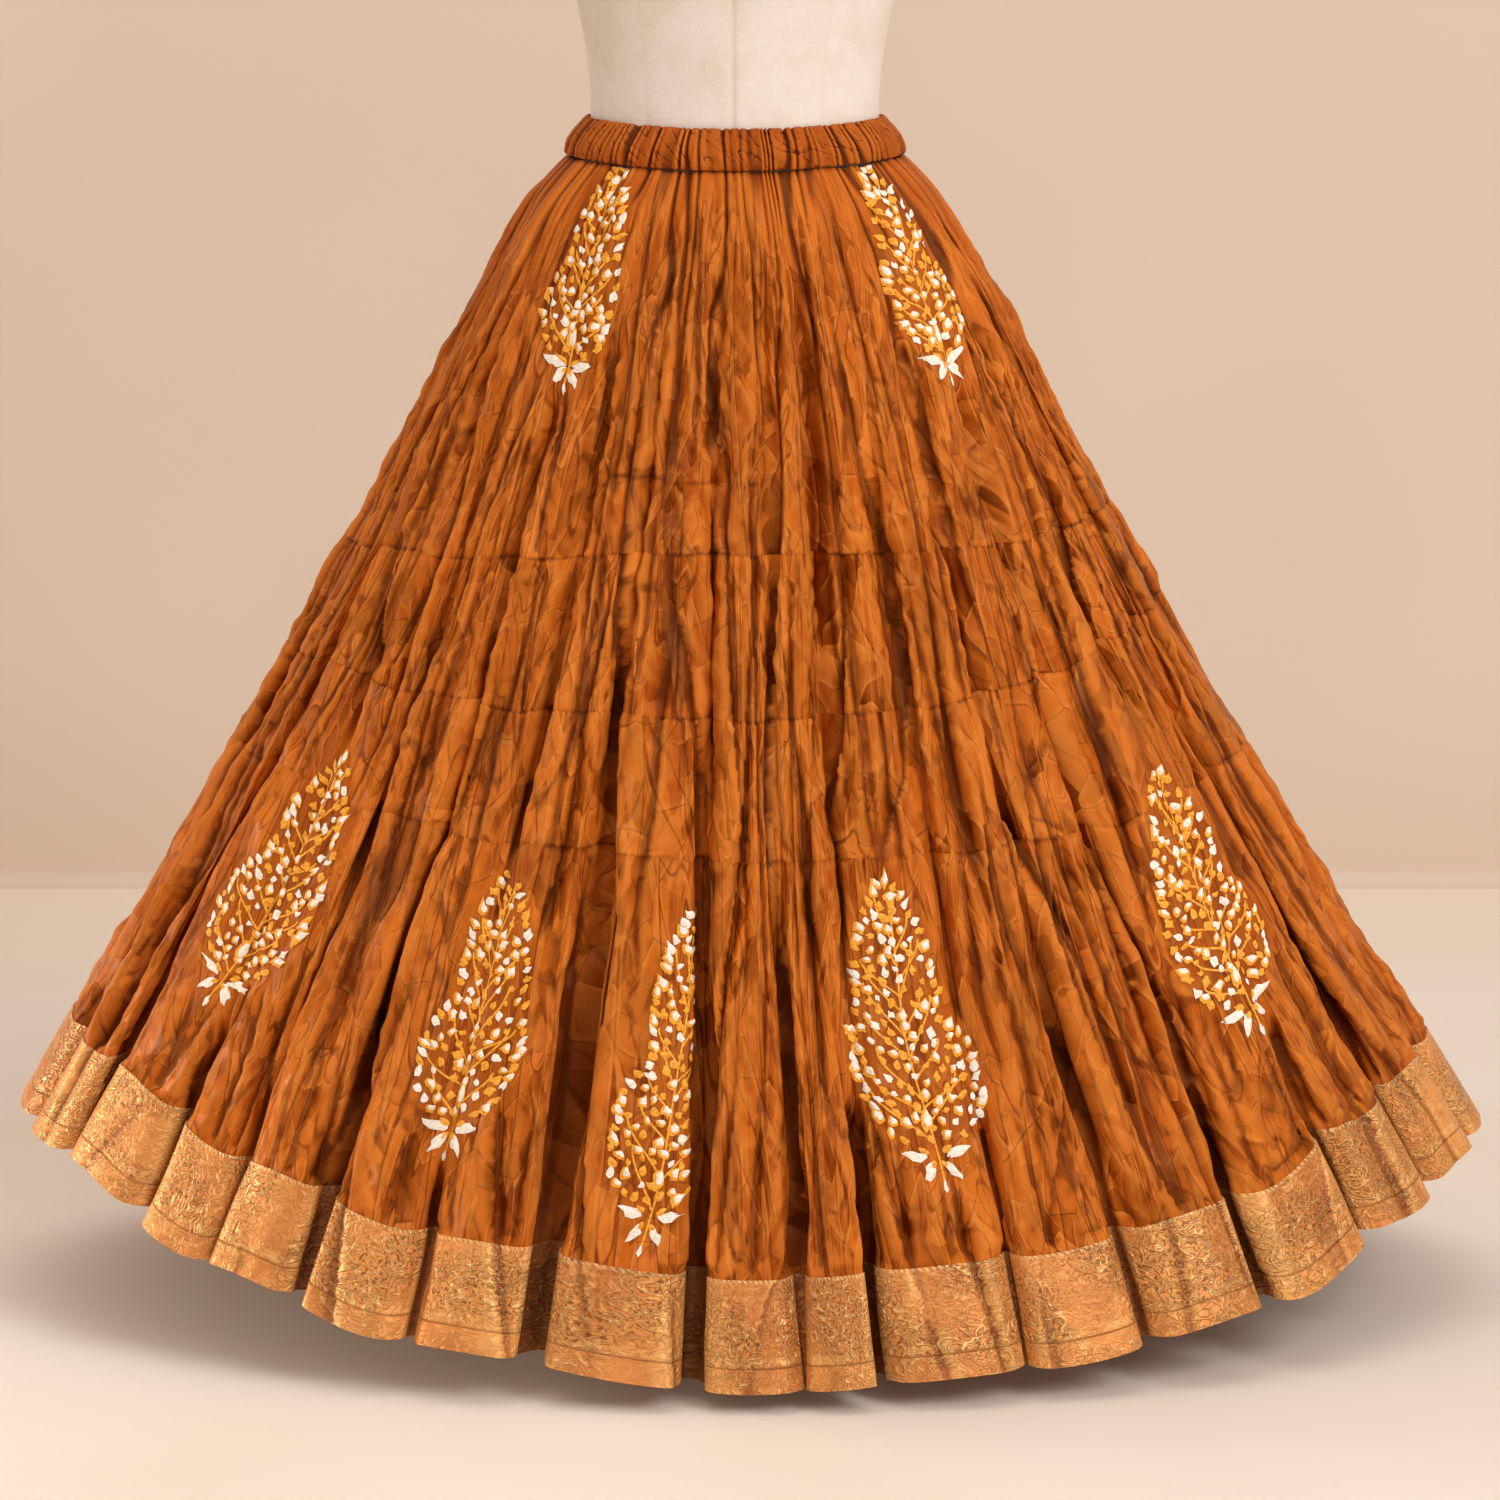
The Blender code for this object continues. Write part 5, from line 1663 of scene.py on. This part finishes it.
def linen(name):
    """The form's cream cover: a fine plain weave with slubs, shaded along its seams."""
    f = Finish(name, colour(236, 229, 221))
    warp = f.noise(f.scaled(f.solid, 1.0, 1.0, 0.06), 900.0, 2.0, 0.6)
    weft = f.noise(f.scaled(f.solid, 0.10, 0.10, 1.0), 900.0, 2.0, 0.6)
    weave = f.math("ADD", warp, weft)
    mottle = f.noise(f.solid, 22.0, 2.0, 0.6)
    f.over(colour(229, 219, 208), f.ramp(mottle, 0.35, 0.7))
    f.over(colour(210, 186, 160), f.ramp(weave, 0.85, 1.2, 0.0, 0.16))
    f.over(colour(196, 166, 134), f.value("crease"), 0.35)
    return f.done(
        Roughness=0.88, Normal=f.bump(weave, 0.00022, 0.8), Specular_IOR_Level=0.2, Sheen_Weight=0.1,
        Sheen_Roughness=0.6,
    )


def turned_wood(name):
    """Pale wood with the rings and pores that turning shows, under thin lacquer."""
    f = Finish(name, colour(203, 158, 108))
    rings = f.add("ShaderNodeTexWave", {
        "Vector": f.scaled(f.solid, 1.0, 2.4, 0.5), "Scale": 26.0,
        "Distortion": 5.0, "Detail": 3.0, "Detail Scale": 2.0,
    }, "Fac", wave_type="RINGS", rings_direction="Y")
    pores = f.noise(f.scaled(f.solid, 1.0, 1.0, 0.05), 1400.0, 2.0)
    f.over(colour(164, 112, 66), rings)
    f.over(colour(110, 70, 38), f.ramp(pores, 0.58, 0.75, 0.0, 0.5))
    return f.done(
        Roughness=f.ramp(pores, 0.3, 0.8, 0.38, 0.52), Normal=f.bump(pores, 0.0002, 0.6), Specular_IOR_Level=0.5,
        Coat_Weight=0.15, Coat_Roughness=0.3,
    )


def satin_steel(name):
    """Brushed and lacquered steel, with faint smudges and scuffs."""
    f = Finish(name, colour(178, 176, 172))
    brushed = f.noise(f.scaled(f.solid, 1.0, 1.0, 0.02), 1300.0, 2.0, 0.6)
    smudge = f.noise(f.solid, 24.0, 4.0, 0.65)
    f.over(colour(150, 148, 146), f.ramp(smudge, 0.35, 0.7))
    f.over(colour(110, 106, 102), f.ramp(f.noise(f.solid, 300.0, 2.0, 0.7, 1.5), 0.62, 0.72, 0.0, 0.35))
    roughness = f.math("ADD", f.ramp(smudge, 0.3, 0.7, 0.26, 0.42), f.times(brushed, 0.08))
    return f.done(Roughness=roughness, Metallic=1.0, Normal=f.bump(brushed, 0.00008, 0.6))


def studio_paint(name, light, deep, scale, roughness, axis, foot, start, end):
    """The floor's and the backdrop's plain paint, which turns to foot where the two meet."""
    f = Finish(name, light)
    f.over(deep, f.ramp(f.noise(f.solid, scale, 2.0, 0.62), 0.38, 0.66))
    f.base = f.blend(f.ramp(f.split(f.solid, axis), start, end), foot, f.base)
    return f.done(Roughness=roughness, Specular_IOR_Level=0.1)


# ---------------------------------------------------------------- stage, lights and camera

WALL_Y = 1.75
WALL_HALF_WIDTH = 1.15  # it fills the camera's view, and leaves the views from behind clear
WALL_HEIGHT = 1.25
FLOOR_HALF_SIDE = 7.0
COVE_RADIUS = 0.02
COVE_STEPS = 16
# Each paint: its light and its deep colour, the scale of its clouds, roughness, and the axis along which it turns
# to the colour of its foot, from one place to the other
FLOOR_PAINT = (
    colour(238, 230, 222), colour(234, 224, 214), 1.6, 0.7, "Y", colour(240, 229, 217), WALL_Y, WALL_Y - 0.8,
)
WALL_PAINT = (colour(228, 214, 200), colour(223, 208, 192), 0.9, 0.95, "Z", colour(222, 207, 192), 0.0, 0.35)


def make_stage():
    """A pale floor all round and a small beige backdrop."""
    x = FLOOR_HALF_SIDE
    floor = make_mesh(
        "studio_floor", [(-x, -x, 0), (x, -x, 0), (x, x, 0), (-x, x, 0)], [(0, 1, 2), (0, 2, 3)],
        [studio_paint("studio floor", *FLOOR_PAINT)], smooth=False,
    )
    turns = [step / COVE_STEPS * math.pi / 2 for step in range(COVE_STEPS + 1)]
    cove = [
        (WALL_Y - COVE_RADIUS + COVE_RADIUS * math.sin(turn), COVE_RADIUS * (1 - math.cos(turn))) for turn in turns
    ]
    cove.append((WALL_Y, WALL_HEIGHT))
    points = [(side * WALL_HALF_WIDTH, y, z) for y, z in cove for side in (-1, 1)]
    triangles = []
    for a in range(0, 2 * len(cove) - 2, 2):
        triangles += [(a, a + 1, a + 3), (a, a + 3, a + 2)]
    wall = make_mesh("studio_backdrop", points, triangles, [studio_paint("studio backdrop", *WALL_PAINT)])


LIGHTS = [
    # name, place, aim, width, height, watts, tint, spread in degrees
    ("key", (2.7, -3.3, 3.2), (0.0, 0.0, 0.6), 2.2, 2.2, 108, (1.0, 1.0, 1.0), 180),
    ("overhead", (0.0, -0.7, 4.2), (0.0, 0.0, 0.0), 3.0, 2.2, 22, (1.0, 0.98, 0.96), 180),
    ("floor wash", (-2.7, 0.2, 0.5), (-0.55, -0.5, 0.0), 1.2, 0.8, 3.4, (1.0, 0.84, 0.66), 36),
    ("backdrop", (-1.0, -0.2, 3.6), (-1.1, 1.75, 0.9), 3.5, 0.8, 10, (1.0, 0.95, 0.9), 180),
]
SURROUND_TINT = (1.0, 0.83, 0.69, 1.0)
SURROUND_STRENGTH = 0.64


def add_light(name, place, aim, width, height, watts, tint, spread):
    """A soft box that faces its aim."""
    data = bpy.data.lights.new(name, "AREA")
    data.shape = "RECTANGLE"
    data.size = width
    data.size_y = height
    data.energy = watts
    data.color = tint
    data.spread = math.radians(spread)
    light = bpy.data.objects.new(name, data)
    light.location = place
    light.rotation_euler = (Vector(aim) - Vector(place)).to_track_quat("-Z", "Y").to_euler()
    bpy.context.scene.collection.objects.link(light)


CAMERA_PLACE = (0.0125, -5.0, 1.342)
CAMERA_PITCH = 9.95  # degrees down from level
CAMERA_LENS = 143.64
SENSOR_WIDTH = 36.0


def make_camera():
    data = bpy.data.cameras.new("camera")
    data.sensor_width = SENSOR_WIDTH
    data.lens = CAMERA_LENS
    camera = bpy.data.objects.new("camera", data)
    camera.location = CAMERA_PLACE
    camera.rotation_euler = (math.radians(90 - CAMERA_PITCH), 0, 0)
    bpy.context.scene.collection.objects.link(camera)
    bpy.context.scene.camera = camera


def make_lights():
    for light in LIGHTS:
        add_light(*light)
    world = bpy.data.worlds.new("studio")
    world.use_nodes = True
    background = world.node_tree.nodes["Background"]
    background.inputs["Color"].default_value = SURROUND_TINT
    background.inputs["Strength"].default_value = SURROUND_STRENGTH
    bpy.context.scene.world = world
    bpy.context.scene.view_settings.view_transform = "Standard"


# ---------------------------------------------------------------- the whole

NECK_BOTTOM = 1.4903
FOOT_OUTLINE = [
    (0.0, 0.060), (0.0238, 0.060), (0.028, 0.056), (0.028, 0.028), (0.0364, 0.024),
    (0.153, 0.01488), (0.170, 0.00864), (0.170, 0.0),
]
NECK_OUTLINE = [(0.0, 0.022), (0.0297, 0.0202), (0.0475, 0.015), (0.054, 0.0077), (0.054, 0.0)]
POLE_OUTLINE = [(0.016, 0.7197), (0.016, 0.0603)]
POLE_SIDES = 64
PRINTED_TIER = 3  # the motifs move with the bottom tier
DYE_LOT_STEP = 3.1  # so that no two tiers show the same part of the crumple's pattern
PAINTS = [
    ("white", colour(250, 246, 236), colour(232, 220, 200)), ("mustard", colour(248, 176, 52), colour(222, 136, 30)),
]


def finish_piece(piece, slot, *nodes):
    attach(piece, "root")
    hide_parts(*nodes)


def make_skirt():
    """The tiers, the border, the waistband and the print. It gives each sheet with its cut and what moves with it."""
    sheets = []
    for number, row in enumerate(TIERS):
        if row["name"] == "hem_border":
            material = brocade("copper gold brocade", *row["flat"])
        else:
            name = "crushed cotton, " + row["name"].replace("_", " ")
            material = crushed_cotton(name, *row["flat"], place=DYE_LOT_STEP * number)
        tier = make_tier(row, material)
        finish_piece(tier, "border_brocade" if row["name"] == "hem_border" else "skirt_cloth", row["name"])
        sheets.append((tier, row["flat"], []))
    band = make_waistband(crushed_cotton("crushed cotton, waistband", *BAND_FLAT, crush=0.35, deep=0.45))
    finish_piece(band, "skirt_cloth", "waistband")
    motifs = make_motifs([motif_paint(name + " motif paint", light, deep) for name, light, deep in PAINTS])
    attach(motifs, "root")
    sheets[PRINTED_TIER][2].append(motifs)
    return sheets + [(band, BAND_FLAT, [])]


def make_form():
    """The dress form on its stand."""
    finish_piece(make_torso(linen("cream linen cover")), "form_linen", "form_torso")
    neck = [(radius, height + NECK_BOTTOM) for radius, height in NECK_OUTLINE]
    finish_piece(make_turned("turned_neck_cap", neck, turned_wood("turned pale wood")), "form_wood", "form_neck_cap")
    steel = satin_steel("satin steel")
    finish_piece(make_turned("weighted_foot", FOOT_OUTLINE, steel), "stand_steel", "stand_foot")
    finish_piece(make_turned("turned_pole", POLE_OUTLINE, steel, POLE_SIDES), "stand_steel", "stand_pole")


def main():
    make_camera()
    sheets = make_skirt()
    make_form()
    for sheet, flat, others in sheets:
        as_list(others)
    make_stage()
    make_lights()


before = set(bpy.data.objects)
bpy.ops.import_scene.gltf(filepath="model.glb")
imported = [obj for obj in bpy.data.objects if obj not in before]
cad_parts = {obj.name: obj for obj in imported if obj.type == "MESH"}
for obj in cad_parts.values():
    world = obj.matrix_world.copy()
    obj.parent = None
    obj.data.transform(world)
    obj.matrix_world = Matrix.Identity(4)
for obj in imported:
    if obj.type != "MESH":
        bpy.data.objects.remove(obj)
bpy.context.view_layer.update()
main()
